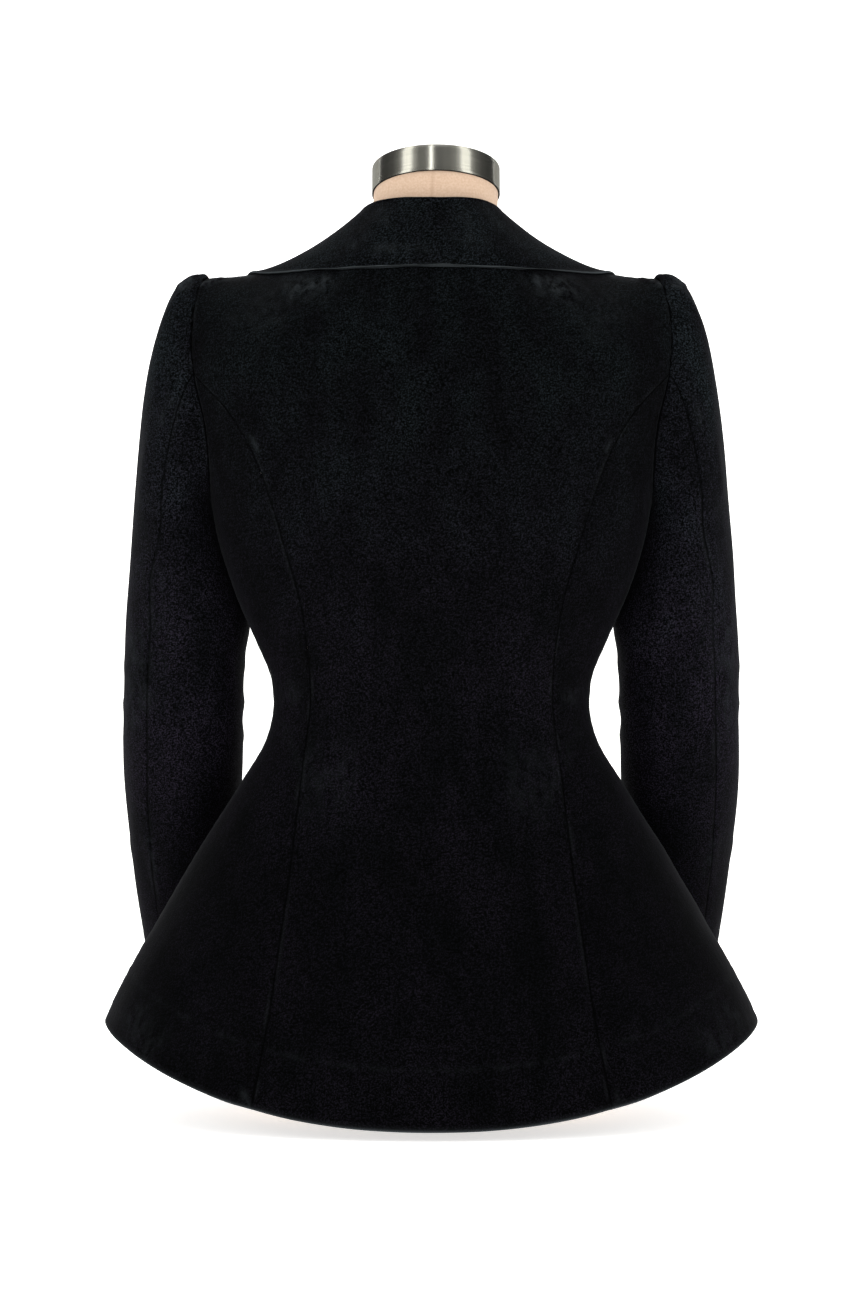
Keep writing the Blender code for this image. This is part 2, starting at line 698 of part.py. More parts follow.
def collar_section(tree, along, side):
    """One section across the collar, from its edge over the roll down to the neck seam."""
    fold = Fold(*smooth(COLLAR_FOLDS, along))
    seam = neckline_point(along, side)
    roll = seam + Vector((fold.roll_x, fold.roll_y, fold.roll_z))
    edge = laid(tree, Vector((fold.edge_x, fold.edge_y, fold.edge_z)), COLLAR_CLEAR)
    belly = laid(tree, (seam + edge) / 2, fold.loft)
    up = (roll - seam).normalized()
    out = edge - roll
    out = (out - up * out.dot(up)).normalized()
    centre = roll - up * ROLL_RADIUS
    turns = [math.radians(angle) for angle in (180, 135, 90, 45, 0)]
    curl = [centre + (out * math.cos(a) + up * math.sin(a)) * ROLL_RADIUS for a in turns]
    foot = seam + up * SLEEVE_GAP - out * (CLOTH * 0.75)
    pull = belly * 2 - (curl[-1] + edge) / 2
    fall = []
    for step in range(1, FALL_STEPS + 1):
        t = step / FALL_STEPS
        point = curl[-1] * (1 - t) ** 2 + pull * 2 * t * (1 - t) + edge * t**2
        fall.append(held_off(tree, point, COLLAR_CLEAR))
    return list(reversed([foot, (foot + curl[0]) / 2] + curl + fall))


def collar_half(grids, front, side):
    """Sections of the collar's left half over this front, from the centre back forward."""
    tree = surface_tree([grids["back"], grids["side_back"], grids["side_front"], grids[front]])
    end = COLLAR_FOLDS[-1].along
    sections = []
    for step in range(COLLAR_STEPS + 1):
        section = collar_section(tree, end * step / COLLAR_STEPS, side)
        sections.append([tuple(point) for point in section])
    return np.array(sections).transpose(1, 0, 2)


def build_collar(grids):
    """The collar as one grid: from the right front round the back of the neck to the left."""
    left = collar_half(grids, "front_under", -1)
    right = collar_half(grids, "front_over", 1)[:, ::-1] * np.array([-1.0, 1.0, 1.0])
    points = np.concatenate([right[:, :-1], left], axis=1)
    across = np.gradient(points, axis=1)
    up = np.gradient(points, axis=0)
    return points, -unit(np.cross(across, up))


def stacked(rings):
    """Points and faces of a closed body through rings that turn leftwards, seen from outside."""
    sides = len(rings[0])
    points = [point for ring in rings for point in ring]
    faces = [list(range(sides))]
    for low in range(0, len(points) - sides, sides):
        for step in range(sides):
            after = (step + 1) % sides
            faces.append([low + after, low + step, low + sides + step, low + sides + after])
    faces.append([len(points) - sides + step for step in reversed(range(sides))])
    return points, faces


def form_ring(ring):
    """One ring of the dress form: a level section, or the neck's tilted one."""
    tilt = math.radians(ring.tilt)
    top = FORM_SECTIONS[-1].height
    neck_share = max(0.0, (ring.height - NECK_FOOT) / (top - NECK_FOOT))
    points = []
    for step in range(FORM_SIDES):
        angle = 2 * math.pi * step / FORM_SIDES
        depth = ring.back if math.cos(angle) > 0 else ring.front
        x = ring.half_width * signed_power(math.sin(angle), 2 / FORM_ROUNDNESS)
        y = depth * signed_power(math.cos(angle), 2 / FORM_ROUNDNESS)
        lean = y * math.sin(tilt)
        x += NECK_SHIFT * neck_share
        points.append(Vector((x, ring.middle + y * math.cos(tilt), ring.height + lean)))
    return points


def build_form(grids):
    """The limbless torso with its neck: one smooth closed body with a flat base."""
    body = [grids[name] for name in ("back", "side_back", "side_front", "front_under")]
    other = [mirrored(grids[name]) for name in ("side_back", "side_front", "front_over")]
    tree = surface_tree(body + other)
    rings = [[kept_under(tree, point) for point in form_ring(row)] for row in FORM_SECTIONS]
    mesh_object("form_torso", *stacked(rings), FORM_CLOTH)


def kept_under(tree, point):
    """The point, moved in where it is nearer to the jacket's inner side than the gap."""
    near, normal, _, _ = tree.find_nearest(point)
    rise = (point - near).dot(normal)
    beside = (point - near - normal * rise).length
    low = -(CLOTH + FORM_GAP)
    return near + normal * low if rise > low and beside < EDGE_REACH else point


def build_cap():
    """The steel cap: a short cylinder with bevelled rims, square to the tilted neck."""
    neck = FORM_SECTIONS[-1]
    axis = Vector((0, -math.sin(CAP_TILT), math.cos(CAP_TILT)))
    side, back = Vector((1, 0, 0)), Vector((0, math.cos(CAP_TILT), math.sin(CAP_TILT)))
    foot = Vector((NECK_SHIFT, neck.middle, neck.height)) + axis * SEAM_GAP
    profile = (
        (CAP_RADIUS - CAP_BEVEL, 0.0),
        (CAP_RADIUS, CAP_BEVEL),
        (CAP_RADIUS, CAP_HEIGHT - CAP_BEVEL),
        (CAP_RADIUS - CAP_BEVEL, CAP_HEIGHT),
    )
    turns = [2 * math.pi * step / CAP_SIDES for step in range(CAP_SIDES)]
    rings = []
    for radius, rise in profile:
        middle = foot + axis * rise
        rings.append([middle + (side * math.sin(a) + back * math.cos(a)) * radius for a in turns])
    mesh_object("neck_cap", *stacked(rings), STEEL)


def main():
    """Builds every piece."""
    for old in list(bpy.data.objects):
        bpy.data.objects.remove(old, do_unlink=True)
    grids = build_body()
    wall("back", *grids["back"])
    for name in ("side_back", "side_front"):
        wall(name + "_left", *grids[name])
        wall(name + "_right", *mirrored(grids[name]))
    wall("front_left", *grids["front_under"])
    wall("front_right", *mirrored(grids["front_over"]))
    sleeve_walls(grids)
    wall("collar", *build_collar(grids))
    build_form(grids)
    build_cap()


main()
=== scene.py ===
"""A black velvet jacket on a limbless dress form, seen from behind.

Metres, +Z up. The jacket's front faces -Y and the wearer's left is +X. Every panel of cloth is a
thin wall on the form of its solid, with its seams, folds and pile laid on in real sizes.
Angles round the body run from the centre back (0) over the left side (90 degrees) to the front.
"""

import logging
import math
from dataclasses import dataclass, field
from enum import Enum
from typing import NamedTuple, Optional, Sequence, Union

import bpy
import numpy as np
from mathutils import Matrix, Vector
from mathutils.bvhtree import BVHTree


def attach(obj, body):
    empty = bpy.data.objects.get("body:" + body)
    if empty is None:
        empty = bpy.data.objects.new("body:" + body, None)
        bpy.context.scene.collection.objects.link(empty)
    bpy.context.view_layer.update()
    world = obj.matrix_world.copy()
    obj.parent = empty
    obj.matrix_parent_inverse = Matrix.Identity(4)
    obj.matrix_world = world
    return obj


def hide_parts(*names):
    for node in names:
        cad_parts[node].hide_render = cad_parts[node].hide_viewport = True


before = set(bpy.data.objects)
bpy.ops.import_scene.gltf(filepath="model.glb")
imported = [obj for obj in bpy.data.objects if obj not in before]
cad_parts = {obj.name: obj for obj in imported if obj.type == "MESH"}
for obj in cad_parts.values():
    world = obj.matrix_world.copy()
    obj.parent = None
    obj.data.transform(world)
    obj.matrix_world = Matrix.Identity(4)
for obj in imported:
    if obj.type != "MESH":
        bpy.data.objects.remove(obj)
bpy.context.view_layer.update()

log = logging.getLogger("velvet_jacket")
MM = 0.001
WHITE = (1.0, 1.0, 1.0, 1.0)
BLACK = (0.0, 0.0, 0.0, 1.0)
Array = np.ndarray
Socket = bpy.types.NodeSocket
Value = Union[Socket, float, Sequence[float]]


class Section(NamedTuple):
    """A level section of the jacket's body."""

    height: float
    half_width: float
    back: float
    front: float
    roundness: float


class Seam(NamedTuple):
    """A point of a seam that runs up the body, as its half width from the middle."""

    height: float
    half_width: float


class Shoulder(NamedTuple):
    """A point of the shoulder seam."""

    half_width: float
    depth: float
    height: float


class Column(NamedTuple):
    """A column of the back panel: its share of the half width, and where it ends at the top."""

    share: float
    top: float


class Ring(NamedTuple):
    """A ring of the sleeve's tube: its middle, its half sizes and its pitch in degrees."""

    along: float
    x: float
    y: float
    z: float
    half_width: float
    half_depth: float
    pitch: float


class HeadLine(NamedTuple):
    """How the sleeve's head leaves the armhole at this share of the armhole's height."""

    share: float
    rise: float
    reach: float
    lead: float


class Fold(NamedTuple):
    """A section of the collar: its roll from the neck seam, and its outer edge."""

    along: float
    roll_x: float
    roll_y: float
    roll_z: float
    edge_x: float
    edge_y: float
    edge_z: float
    loft: float


class FormRing(NamedTuple):
    """A ring of the dress form."""

    height: float
    middle: float
    half_width: float
    back: float
    front: float
    tilt: float


def rows_of(kind: type, *rows: Sequence[float]) -> tuple:
    """A table's rows, each with the names of its sizes."""
    return tuple(kind(*row) for row in rows)


SECTIONS = rows_of(
    Section,
    (0, 0.2985, 0.192, 0.178, 2.05), (0.0777, 0.2772, 0.171, 0.16, 2.05),
    (0.15, 0.2395, 0.149, 0.142, 2.05), (0.2157, 0.202, 0.126, 0.124, 2.1),
    (0.2826, 0.1602, 0.102, 0.106, 2.15), (0.3158, 0.1405, 0.092, 0.0985, 2.2),
    (0.341, 0.1343, 0.087, 0.095, 2.2), (0.3668, 0.1356, 0.087, 0.096, 2.2),
    (0.4008, 0.1492, 0.0905, 0.101, 2.2), (0.4399, 0.1662, 0.096, 0.108, 2.25),
    (0.4841, 0.1802, 0.102, 0.118, 2.3), (0.5342, 0.19, 0.108, 0.129, 2.35),
    (0.58, 0.2, 0.1115, 0.131, 2.4), (0.6225, 0.212, 0.113, 0.124, 2.4),
    (0.66, 0.214, 0.11, 0.108, 2.4),
)
BACK_PRINCESS = rows_of(
    Seam,
    (0.02, 0.146), (0.0875, 0.133), (0.1456, 0.1247), (0.204, 0.1169), (0.2913, 0.1072),
    (0.354, 0.1009), (0.3815, 0.1022), (0.4262, 0.108), (0.4769, 0.1217), (0.5177, 0.1341),
    (0.5613, 0.1512), (0.5922, 0.1705), (0.6225, 0.1985),
)
FRONT_PRINCESS = rows_of(
    Seam,
    (0.06, 0.15), (0.12, 0.134), (0.204, 0.115), (0.2913, 0.101), (0.341, 0.0955),
    (0.4008, 0.0965), (0.4641, 0.1), (0.5213, 0.108), (0.5513, 0.124), (0.578, 0.152),
    (0.602, 0.194),
)
LAP = 0.015
BREAK = 0.500
FRONT_EDGE = rows_of(
    Seam,
    (0, -LAP), (0.44, -LAP), (0.478, -LAP), (BREAK, 0.001), (0.55, 0.015), (0.602, 0.031),
)
SHOULDER = rows_of(
    Shoulder,
    (0.066, 0.012, 0.742), (0.1, 0.008, 0.7265), (0.13, 0.005, 0.7155), (0.16, 0.002, 0.7098),
    (0.19, 0, 0.7073),
)
BACK_COLUMNS = rows_of(
    Column,
    (0, 0), (0.1, 0.028), (0.19, 0.048), (0.25, 0.06), (0.29, 0.066), (0.41, 0.094),
    (0.54, 0.119), (0.68, 0.144), (0.83, 0.168), (1, 0.19),
)
SLEEVE_RINGS = rows_of(
    Ring,
    (0, 0.212, -0.156, 0.118, 0.0415, 0.04, 28), (0.09, 0.2168, -0.113, 0.2, 0.0455, 0.044, 26),
    (0.18, 0.2158, -0.068, 0.28, 0.0508, 0.049, 22),
    (0.255, 0.2132, -0.039, 0.35, 0.0515, 0.052, 14),
    (0.292, 0.2122, -0.036, 0.3865, 0.0517, 0.053, 10),
    (0.325, 0.2094, -0.035, 0.418, 0.0532, 0.054, 7),
    (0.372, 0.2148, -0.032, 0.465, 0.0444, 0.058, 3),
    (0.416, 0.218, -0.026, 0.508, 0.0375, 0.062, 0),
)
HEAD_LINES = rows_of(
    HeadLine,
    (0, -0.8, 0.003, 0.004), (0.3, -0.7, 0.014, 0.022), (0.55, -0.6, 0.014, 0.03),
    (0.8, 0, 0.034, 0.068), (0.93, 0.45, 0.042, 0.082), (1, 0.58, 0.046, 0.086),
)
COLLAR_FOLDS = rows_of(
    Fold,
    (0, 0, -0.0095, 0.033, 0, 0.097, 0.7096, 0.009),
    (0.1, -0.001, -0.0085, 0.0325, 0.06, 0.087, 0.709, 0.0085),
    (0.18, -0.0045, -0.0065, 0.03, 0.106, 0.053, 0.7112, 0.0076),
    (0.25, -0.0075, -0.004, 0.0265, 0.134, 0.032, 0.7104, 0.0068),
    (0.38, -0.0085, -0.001, 0.0195, 0.153, 0.006, 0.7125, 0.006),
    (0.54, -0.0085, -0.006, 0.0145, 0.161, -0.045, 0.688, 0.005),
    (0.67, -0.009, -0.009, 0.006, 0.146, -0.095, 0.635, 0.0046),
    (0.8, -0.008, -0.009, 0, 0.114, -0.125, 0.58, 0.0044),
    (0.92, -0.006, -0.0075, -0.003, 0.066, -0.14, 0.536, 0.004),
    (0.98, -0.002, -0.006, -0.003, 0.028, -0.14, 0.509, 0.0038),
)
FORM_SECTIONS = rows_of(
    FormRing,
    (0, 0, 0.138, 0.093, 0.09, 0), (0.04, 0, 0.151, 0.102, 0.096, 0),
    (0.09, 0, 0.1605, 0.109, 0.1, 0), (0.15, 0, 0.164, 0.111, 0.101, 0),
    (0.21, 0, 0.159, 0.106, 0.0995, 0), (0.26, 0, 0.1495, 0.0965, 0.0965, 0),
    (0.3, 0, 0.138, 0.087, 0.093, 0), (0.341, 0, 0.1285, 0.0815, 0.089, 0),
    (0.375, 0, 0.131, 0.082, 0.09, 0), (0.41, 0, 0.145, 0.085, 0.095, 0),
    (0.45, 0, 0.159, 0.0905, 0.101, 0), (0.49, 0, 0.169, 0.0955, 0.111, 0),
    (0.53, 0, 0.173, 0.1005, 0.12, 0), (0.57, 0, 0.1735, 0.1035, 0.122, 0),
    (0.61, 0, 0.172, 0.105, 0.116, 0), (0.645, 0.001, 0.168, 0.102, 0.102, 0),
    (0.67, 0.003, 0.16, 0.096, 0.086, 0), (0.69, 0.005, 0.146, 0.084, 0.072, 0),
    (0.703, 0.008, 0.126, 0.07, 0.064, 0), (0.713, 0.011, 0.099, 0.062, 0.059, 1),
    (0.722, 0.013, 0.077, 0.057, 0.056, 3), (0.732, 0.013, 0.063, 0.055, 0.054, 5),
    (0.745, 0.012, 0.055, 0.0535, 0.053, 8), (0.76, 0.009, 0.0532, 0.0525, 0.0525, 11),
    (0.7797, 0.0056, 0.0527, 0.052, 0.052, 15),
)


# Small mathematics


class Table:
    """Rows of sizes by their first column, read on cubic curves."""

    def __init__(self, rows: Sequence[NamedTuple]) -> None:
        """Keeps the rows and the slope of each column at each row.

        Args:
            rows: the table's rows, in rising order of their first column.
        """
        self.rows = np.array(rows, float)
        self.keys = self.rows[:, 0]
        self.slopes = np.gradient(self.rows, self.keys, axis=0)

    def at(self, key: Array) -> tuple[Array, ...]:
        """Every column but the first at these keys.

        Args:
            key: where to read the table.

        Returns:
            One array for each column, in the table's order.
        """
        key = np.clip(np.asarray(key, float), self.keys[0], self.keys[-1])
        low = np.searchsorted(self.keys, key, side="right") - 1
        low = np.clip(low, 0, len(self.keys) - 2)
        span = (self.keys[low + 1] - self.keys[low])[..., None]
        t = (key - self.keys[low])[..., None] / span
        pulls = span * self.slopes[low], span * self.slopes[low + 1]
        value = hermite(self.rows[low], pulls[0], self.rows[low + 1], pulls[1], t)
        return tuple(np.moveaxis(value[..., 1:], -1, 0))


def mix(a: Array, b: Array, share: Array) -> Array:
    """The value or point at this share of the way from a to b."""
    return a + (b - a) * share


def bump(offset: Array, width: float) -> Array:
    """A soft hill, 1 at offset 0 and almost nothing past twice the width."""
    return np.exp(-((offset / width) ** 2))


def signed_power(value: Array, power: Array) -> Array:
    """The power of the value's size, with its sign kept."""
    return np.copysign(np.abs(value) ** power, value)


def unit(vectors: Array) -> Array:
    """The vectors at length 1."""
    return vectors / np.maximum(np.linalg.norm(vectors, axis=-1, keepdims=True), 1e-12)


def eased(share: Array) -> Array:
    """A share from 0 to 1 that leaves and arrives softly."""
    return share * share * (3 - 2 * share)


def from_top(turns: Array) -> Array:
    """Turns in degrees, from -180 to 180."""
    return (turns + 180.0) % 360.0 - 180.0


def points_of(x: Array, y: Array, z: Array) -> Array:
    """Points from their three coordinates, which are spread to one shape."""
    return np.stack(np.broadcast_arrays(x, y, z), axis=-1)


def hermite(start: Array, start_pull: Array, end: Array, end_pull: Array, t: Array) -> Array:
    """Points on the cubic curve with these ends and pulls.

    Args:
        start: where the curve starts.
        start_pull: its pull at the start.
        end: where it ends.
        end_pull: its pull at the end.
        t: the shares of the curve to read.

    Returns:
        The points.
    """
    return (
        start * (2 * t**3 - 3 * t**2 + 1)
        + start_pull * (t**3 - 2 * t**2 + t)
        + end * (3 * t**2 - 2 * t**3)
        + end_pull * (t**3 - t**2)
    )


EDGE_SPOTS = np.array([0.0, 0.3, 0.7, 1.2, 1.9, 2.8]) * MM


def spread(length: float, step: float, fine_start: bool = True, fine_end: bool = True) -> Array:
    """Shares from 0 to 1, close together at an edge so that it can be rounded.

    Args:
        length: the real length that the shares cover.
        step: the real distance between shares away from the edges.
        fine_start: whether the start is an edge.
        fine_end: whether the end is an edge.

    Returns:
        The shares in rising order.
    """
    low = EDGE_SPOTS if fine_start else EDGE_SPOTS[:1]
    high = length - (EDGE_SPOTS[::-1] if fine_end else EDGE_SPOTS[:1])
    count = max(1, round((high[0] - low[-1]) / step))
    middle = np.linspace(low[-1], high[0], count + 1)[1:-1]
    return np.concatenate([low, middle, high]) / length


def grid_normals(points: Array, turn: float = 1.0) -> Array:
    """Outward normals of a grid whose rows run up and whose columns run leftwards."""
    across = np.gradient(points, axis=1)
    up = np.gradient(points, axis=0)
    return unit(np.cross(up, across)) * turn


def tree_of(grids: Sequence[Array]) -> BVHTree:
    """The outer surface of some grids, for finding the nearest point on it.

    Args:
        grids: grids of outer points.

    Returns:
        The surface's search tree.
    """
    points, faces, base = [], [], 0
    for grid in grids:
        rows, columns = grid.shape[:2]
        points.extend(grid.reshape(-1, 3).tolist())
        for r in range(rows - 1):
            for c in range(columns - 1):
                low = base + r * columns + c
                faces.append((low, low + columns, low + columns + 1, low + 1))
        base += rows * columns
    return BVHTree.FromPolygons(points, faces)


EDGE_REACH = 0.002


def held_off(tree: BVHTree, points: Array, gap: Array, under: bool = False) -> Array:
    """Points moved out where they are nearer to the surface than the gap.

    Args:
        tree: the surface.
        points: the points to move.
        gap: the least distance from the surface, one for each point or one for all.
        under: whether the points belong on the inner side of the surface instead.

    Returns:
        The points, moved.
    """
    flat = points.reshape(-1, 3).copy()
    gaps = np.broadcast_to(gap, points.shape[:-1]).reshape(-1)
    for index, spot in enumerate(flat):
        point = Vector(spot)
        near, normal, _, _ = tree.find_nearest(point)
        rise = (point - near).dot(normal)
        if (point - near - normal * rise).length >= EDGE_REACH:
            continue
        if (rise > -gaps[index]) if under else (rise < gaps[index]):
            flat[index] = near + normal * (-gaps[index] if under else gaps[index])
    return flat.reshape(points.shape)


def laid(tree: BVHTree, points: Array, lift: Array) -> Array:
    """The surface's nearest points, moved out by the lift.

    Args:
        tree: the surface.
        points: the points to lay on it.
        lift: how far out, one for each point or one for all.

    Returns:
        The points, laid.
    """
    flat = points.reshape(-1, 3).copy()
    lifts = np.broadcast_to(lift, points.shape[:-1]).reshape(-1)
    for index, spot in enumerate(flat):
        near, normal, _, _ = tree.find_nearest(Vector(spot))
        flat[index] = near + normal * lifts[index]
    return flat.reshape(points.shape)


# Finishes


def linear(code: str) -> tuple[float, float, float, float]:
    """The linear colour of an sRGB hex value."""
    values = [int(code[i : i + 2], 16) / 255 for i in (1, 3, 5)]
    turned = [v / 12.92 if v <= 0.04045 else ((v + 0.055) / 1.055) ** 2.4 for v in values]
    return (turned[0], turned[1], turned[2], 1.0)


class Finish:
    """A node material while it is being built. Its methods give the sockets that they make."""

    def __init__(self, name: str) -> None:
        """Starts a material with its Principled shader.

        Args:
            name: the real material's name.
        """
        self.material = bpy.data.materials.new(name)
        self.material.use_nodes = True
        self.tree = self.material.node_tree
        self.shader = self.tree.nodes["Principled BSDF"]

    def fill(self, made: bpy.types.Node, inputs: dict) -> None:
        """Sets a node's sockets, by name or number: a value, or a socket to link.

        Args:
            made: the node.
            inputs: what goes into each socket.
        """
        for name, value in inputs.items():
            if isinstance(value, bpy.types.NodeSocket):
                self.tree.links.new(value, made.inputs[name])
            else:
                made.inputs[name].default_value = value

    def node(self, kind: str, settings: dict, inputs: dict) -> bpy.types.Node:
        """Adds a node.

        Args:
            kind: the node's type name, without its ShaderNode start.
            settings: the node's own settings, by name.
            inputs: what goes into its sockets.

        Returns:
            The node.
        """
        made = self.tree.nodes.new("ShaderNode" + kind)
        for name, value in settings.items():
            setattr(made, name, value)
        self.fill(made, inputs)
        return made

    def place(self, kind: str = "Object") -> Socket:
        """Where the surface is, in metres."""
        return self.node("TexCoord", {}, {}).outputs[kind]

    def stretched(self, place: Socket, scale: Sequence[float]) -> Socket:
        """The place with its axes scaled."""
        return self.node("Mapping", {}, {"Vector": place, "Scale": scale}).outputs[0]

    def noise(self, place: Socket, scale: float, detail: float, rough: float = 0.5) -> Socket:
        """A noise's value."""
        inputs = {"Vector": place, "Scale": scale, "Detail": detail, "Roughness": rough}
        return self.node("TexNoise", {}, inputs).outputs["Fac"]

    def laid_on(self, name: str, output: str = "Fac") -> Socket:
        """What the cloth's own attribute of this name says."""
        return self.node("Attribute", {"attribute_name": name}, {}).outputs[output]

    def times(self, value: Socket, by: Value, plus: Value = 0.0) -> Socket:
        """The value times one thing, plus another."""
        inputs = {0: value, 1: by, 2: plus}
        return self.node("Math", {"operation": "MULTIPLY_ADD"}, inputs).outputs[0]

    def ranged(self, value: Socket, low: float, high: float) -> Socket:
        """The value's share of the way from low to high."""
        inputs = {"Value": value, "From Min": low, "From Max": high}
        return self.node("MapRange", {}, inputs).outputs[0]

    def mixed(self, share: Value, under: Value, over: Value, blend: str = "MIX") -> Socket:
        """Two colours, mixed or blended by this share."""
        settings = {"data_type": "RGBA", "blend_type": blend}
        return self.node("Mix", settings, {"Factor": share, 6: under, 7: over}).outputs[2]

    def ramp(self, value: Socket, stops: dict) -> Socket:
        """A colour ramp, from a linear colour for each place on it.

        Args:
            value: what drives the ramp.
            stops: the colours, by place.

        Returns:
            The ramp's colour.
        """
        made = self.node("ValToRGB", {}, {"Fac": value})
        elements = made.color_ramp.elements
        while len(elements) < len(stops):
            elements.new(0.5)
        for element, (place, colour) in zip(elements, sorted(stops.items())):
            element.position = place
            element.color = colour
        return made.outputs[0]

    def done(self, relief: Socket, strength: float, depth: float, look: dict) -> bpy.types.Material:
        """Puts a relief and the shader's own settings on the material.

        Args:
            relief: the height of the relief.
            strength: how strong it looks.
            depth: its real depth.
            look: the shader's sockets, by name.

        Returns:
            The finished material.
        """
        inputs = {"Strength": strength, "Distance": depth, "Height": relief}
        normal = self.node("Bump", {}, inputs).outputs[0]
        self.fill(self.shader, {"Normal": normal, **look})
        return self.material


# A wave texture has 3.2 bands to a metre at scale 1: this sets them about two stitches apart
BANDS_APART = 6.2
PILE_GRAIN = {0.39: BLACK, 0.50: (0.7, 0.7, 0.7, 1), 0.64: (4.8, 4.6, 4.9, 1)}


@dataclass(frozen=True)
class Velvet:
    """Woven cotton velvet: a dense cut pile, matt and nearly black, that lights up at its rim."""

    name: str = "cut_pile_cotton_velvet"
    deep: str = "#030304"
    violet: str = "#070609"
    green: str = "#060809"
    # The grey of pile lying the other way and of painted highlights on crease crests and the hem's
    # step
    brushed: str = "#2b2f31"
    # The grey of the painted sheen highlights along turned edges and beside seams
    edge: str = "#5b6164"
    tuft_mm: float = 1.15
    patch_mm: float = 38.0
    crush_mm: float = 7.0
    lying: float = 0.45
    sheen: str = "#d9dfe8"
    tint_heights: tuple[float, float] = (0.67, 0.91)
    patch_range: tuple[float, float] = (0.35, 0.62)
    streak_range: tuple[float, float] = (0.40, 0.66)
    crush_share: float = 1.6

    def build(self) -> bpy.types.Material:
        """The material.

        Returns:
            The velvet's material.
        """
        finish = Finish(self.name)
        place = finish.place()
        # The nap runs down the cloth, so its brushed patches are longer than they are wide
        lying = finish.stretched(place, (1.0, 1.0, self.lying))
        patches = finish.noise(lying, 1 / (self.patch_mm * MM), detail=4.0, rough=0.62)
        crush = finish.noise(lying, 1 / (self.crush_mm * MM), detail=3.0, rough=0.6)
        # Tufts are finer than this in the real cloth: drawn at the coarseness that a render shows
        tufts = finish.noise(place, 1 / (self.tuft_mm * MM), detail=2.0)
        height = finish.node("SeparateXYZ", {}, {0: place}).outputs["Z"]
        # Light from above leaves the shoulders greener and the skirt and sleeves more violet
        tint = finish.ranged(finish.times(patches, 0.5, height), *self.tint_heights)
        hue = finish.ramp(tint, {0.0: linear(self.violet), 1.0: linear(self.green)})
        shade = finish.ranged(patches, *self.patch_range)
        ground = finish.mixed(shade, linear(self.deep), hue)
        pile = finish.mixed(1.0, ground, finish.ramp(tufts, PILE_GRAIN), "MULTIPLY")
        # Each panel's lie of pile sets how deep the black looks; the same attribute carries painted
        # shade in the seams' grooves and towards the bottom of the cloth
        shaded_pile = finish.mixed(1.0, pile, finish.laid_on("nap", "Color"), "MULTIPLY")
        # Lighter marks: pile lying the other way and painted highlights, broken up by the crushed
        # pile
        streaks = finish.ranged(crush, *self.streak_range)
        broken = finish.times(finish.laid_on("brushed"), streaks)
        lit = finish.mixed(broken, shaded_pile, linear(self.brushed))
        # Painted sheen highlights along turned edges and beside seams lift the colour towards that
        # grey
        look = {
            "Base Color": finish.mixed(finish.laid_on("edge"), lit, linear(self.edge)),
            "Roughness": 0.92,
            "Specular IOR Level": 0.03,
            "Sheen Weight": 0.022,
            "Sheen Roughness": 0.36,
            "Sheen Tint": linear(self.sheen),
        }
        relief = finish.times(crush, self.crush_share, tufts)
        return finish.done(relief, strength=0.4, depth=0.5 * MM, look=look)


@dataclass(frozen=True)
class FormCloth:
    """Stretch knit cover of the form: matt, skin-beige, with a fine even knit."""

    name: str = "knitted_cotton_form_cover"
    ground: str = "#d1b69e"
    shade: str = "#c8aa91"
    seam: str = "#b8977d"
    knit_mm: float = 1.6

    def build(self) -> bpy.types.Material:
        """The material.

        Returns:
            The cover's material.
        """
        finish = Finish(self.name)
        place = finish.place()
        knit = 1 / (self.knit_mm * MM)
        stops = {0.35: linear(self.shade), 0.65: linear(self.ground)}
        tone = finish.ramp(finish.noise(place, knit, detail=3.0), stops)
        wales = finish.node(
            "TexWave",
            {"wave_type": "BANDS", "bands_direction": "Z"},
            {"Vector": place, "Scale": knit / BANDS_APART, "Distortion": 1.2},
        ).outputs["Fac"]
        look = {
            "Base Color": finish.mixed(finish.laid_on("edge"), tone, linear(self.seam)),
            "Roughness": 0.88,
            "Specular IOR Level": 0.2,
            "Sheen Weight": 0.12,
        }
        return finish.done(wales, strength=0.25, depth=0.2 * MM, look=look)


@dataclass(frozen=True)
class BrushedSteel:
    """Stainless steel with brush lines round the cap: soft bands across it and fine lines along it.
    """

    name: str = "brushed_stainless_steel"
    ground: str = "#e4e2da"
    line: str = "#cccac1"
    line_mm: float = 0.5
    rough_low: float = 0.10
    rough_step: float = 0.14

    def build(self) -> bpy.types.Material:
        """The material.

        Returns:
            The steel's material.
        """
        finish = Finish(self.name)
        place = finish.place("UV")
        # Brush lines run round the cap: long along its turn and fine across it
        fine = finish.stretched(place, (12.0, 1 / (self.line_mm * MM), 1.0))
        lines = finish.noise(fine, scale=1.0, detail=4.0)
        streaks = finish.noise(
            finish.stretched(place, (9.0, 1.0, 1.0)), scale=14.0, detail=5.0
        )
        stops = {0.55: linear(self.line), 0.95: linear(self.ground)}
        look = {
            "Base Color": finish.ramp(finish.times(streaks, 0.5, lines), stops),
            "Roughness": finish.times(lines, self.rough_step, self.rough_low),
            "Metallic": 1.0,
        }
        return finish.done(lines, strength=0.10, depth=0.05 * MM, look=look)


@dataclass(frozen=True)
class ShadedSteel:
    """The cap's inner side and lower rim: dull dark steel, a painted shadow under the cap."""

    name: str = "dull_inner_side_of_the_cap"
    ground: str = "#1d1c1a"
    deeper_shade: str = "#0e0d0c"

    def build(self) -> bpy.types.Material:
        """The material.

        Returns:
            The steel's material.
        """
        finish = Finish(self.name)
        # Painted shadow, mottled darker in places
        shade_mottle = finish.noise(finish.place(), scale=180.0, detail=3.0)
        tone = finish.ramp(shade_mottle, {0.4: linear(self.deeper_shade), 0.6: linear(self.ground)})
        finish.fill(finish.shader, {"Base Color": tone, "Metallic": 1.0, "Roughness": 0.7})
        return finish.material


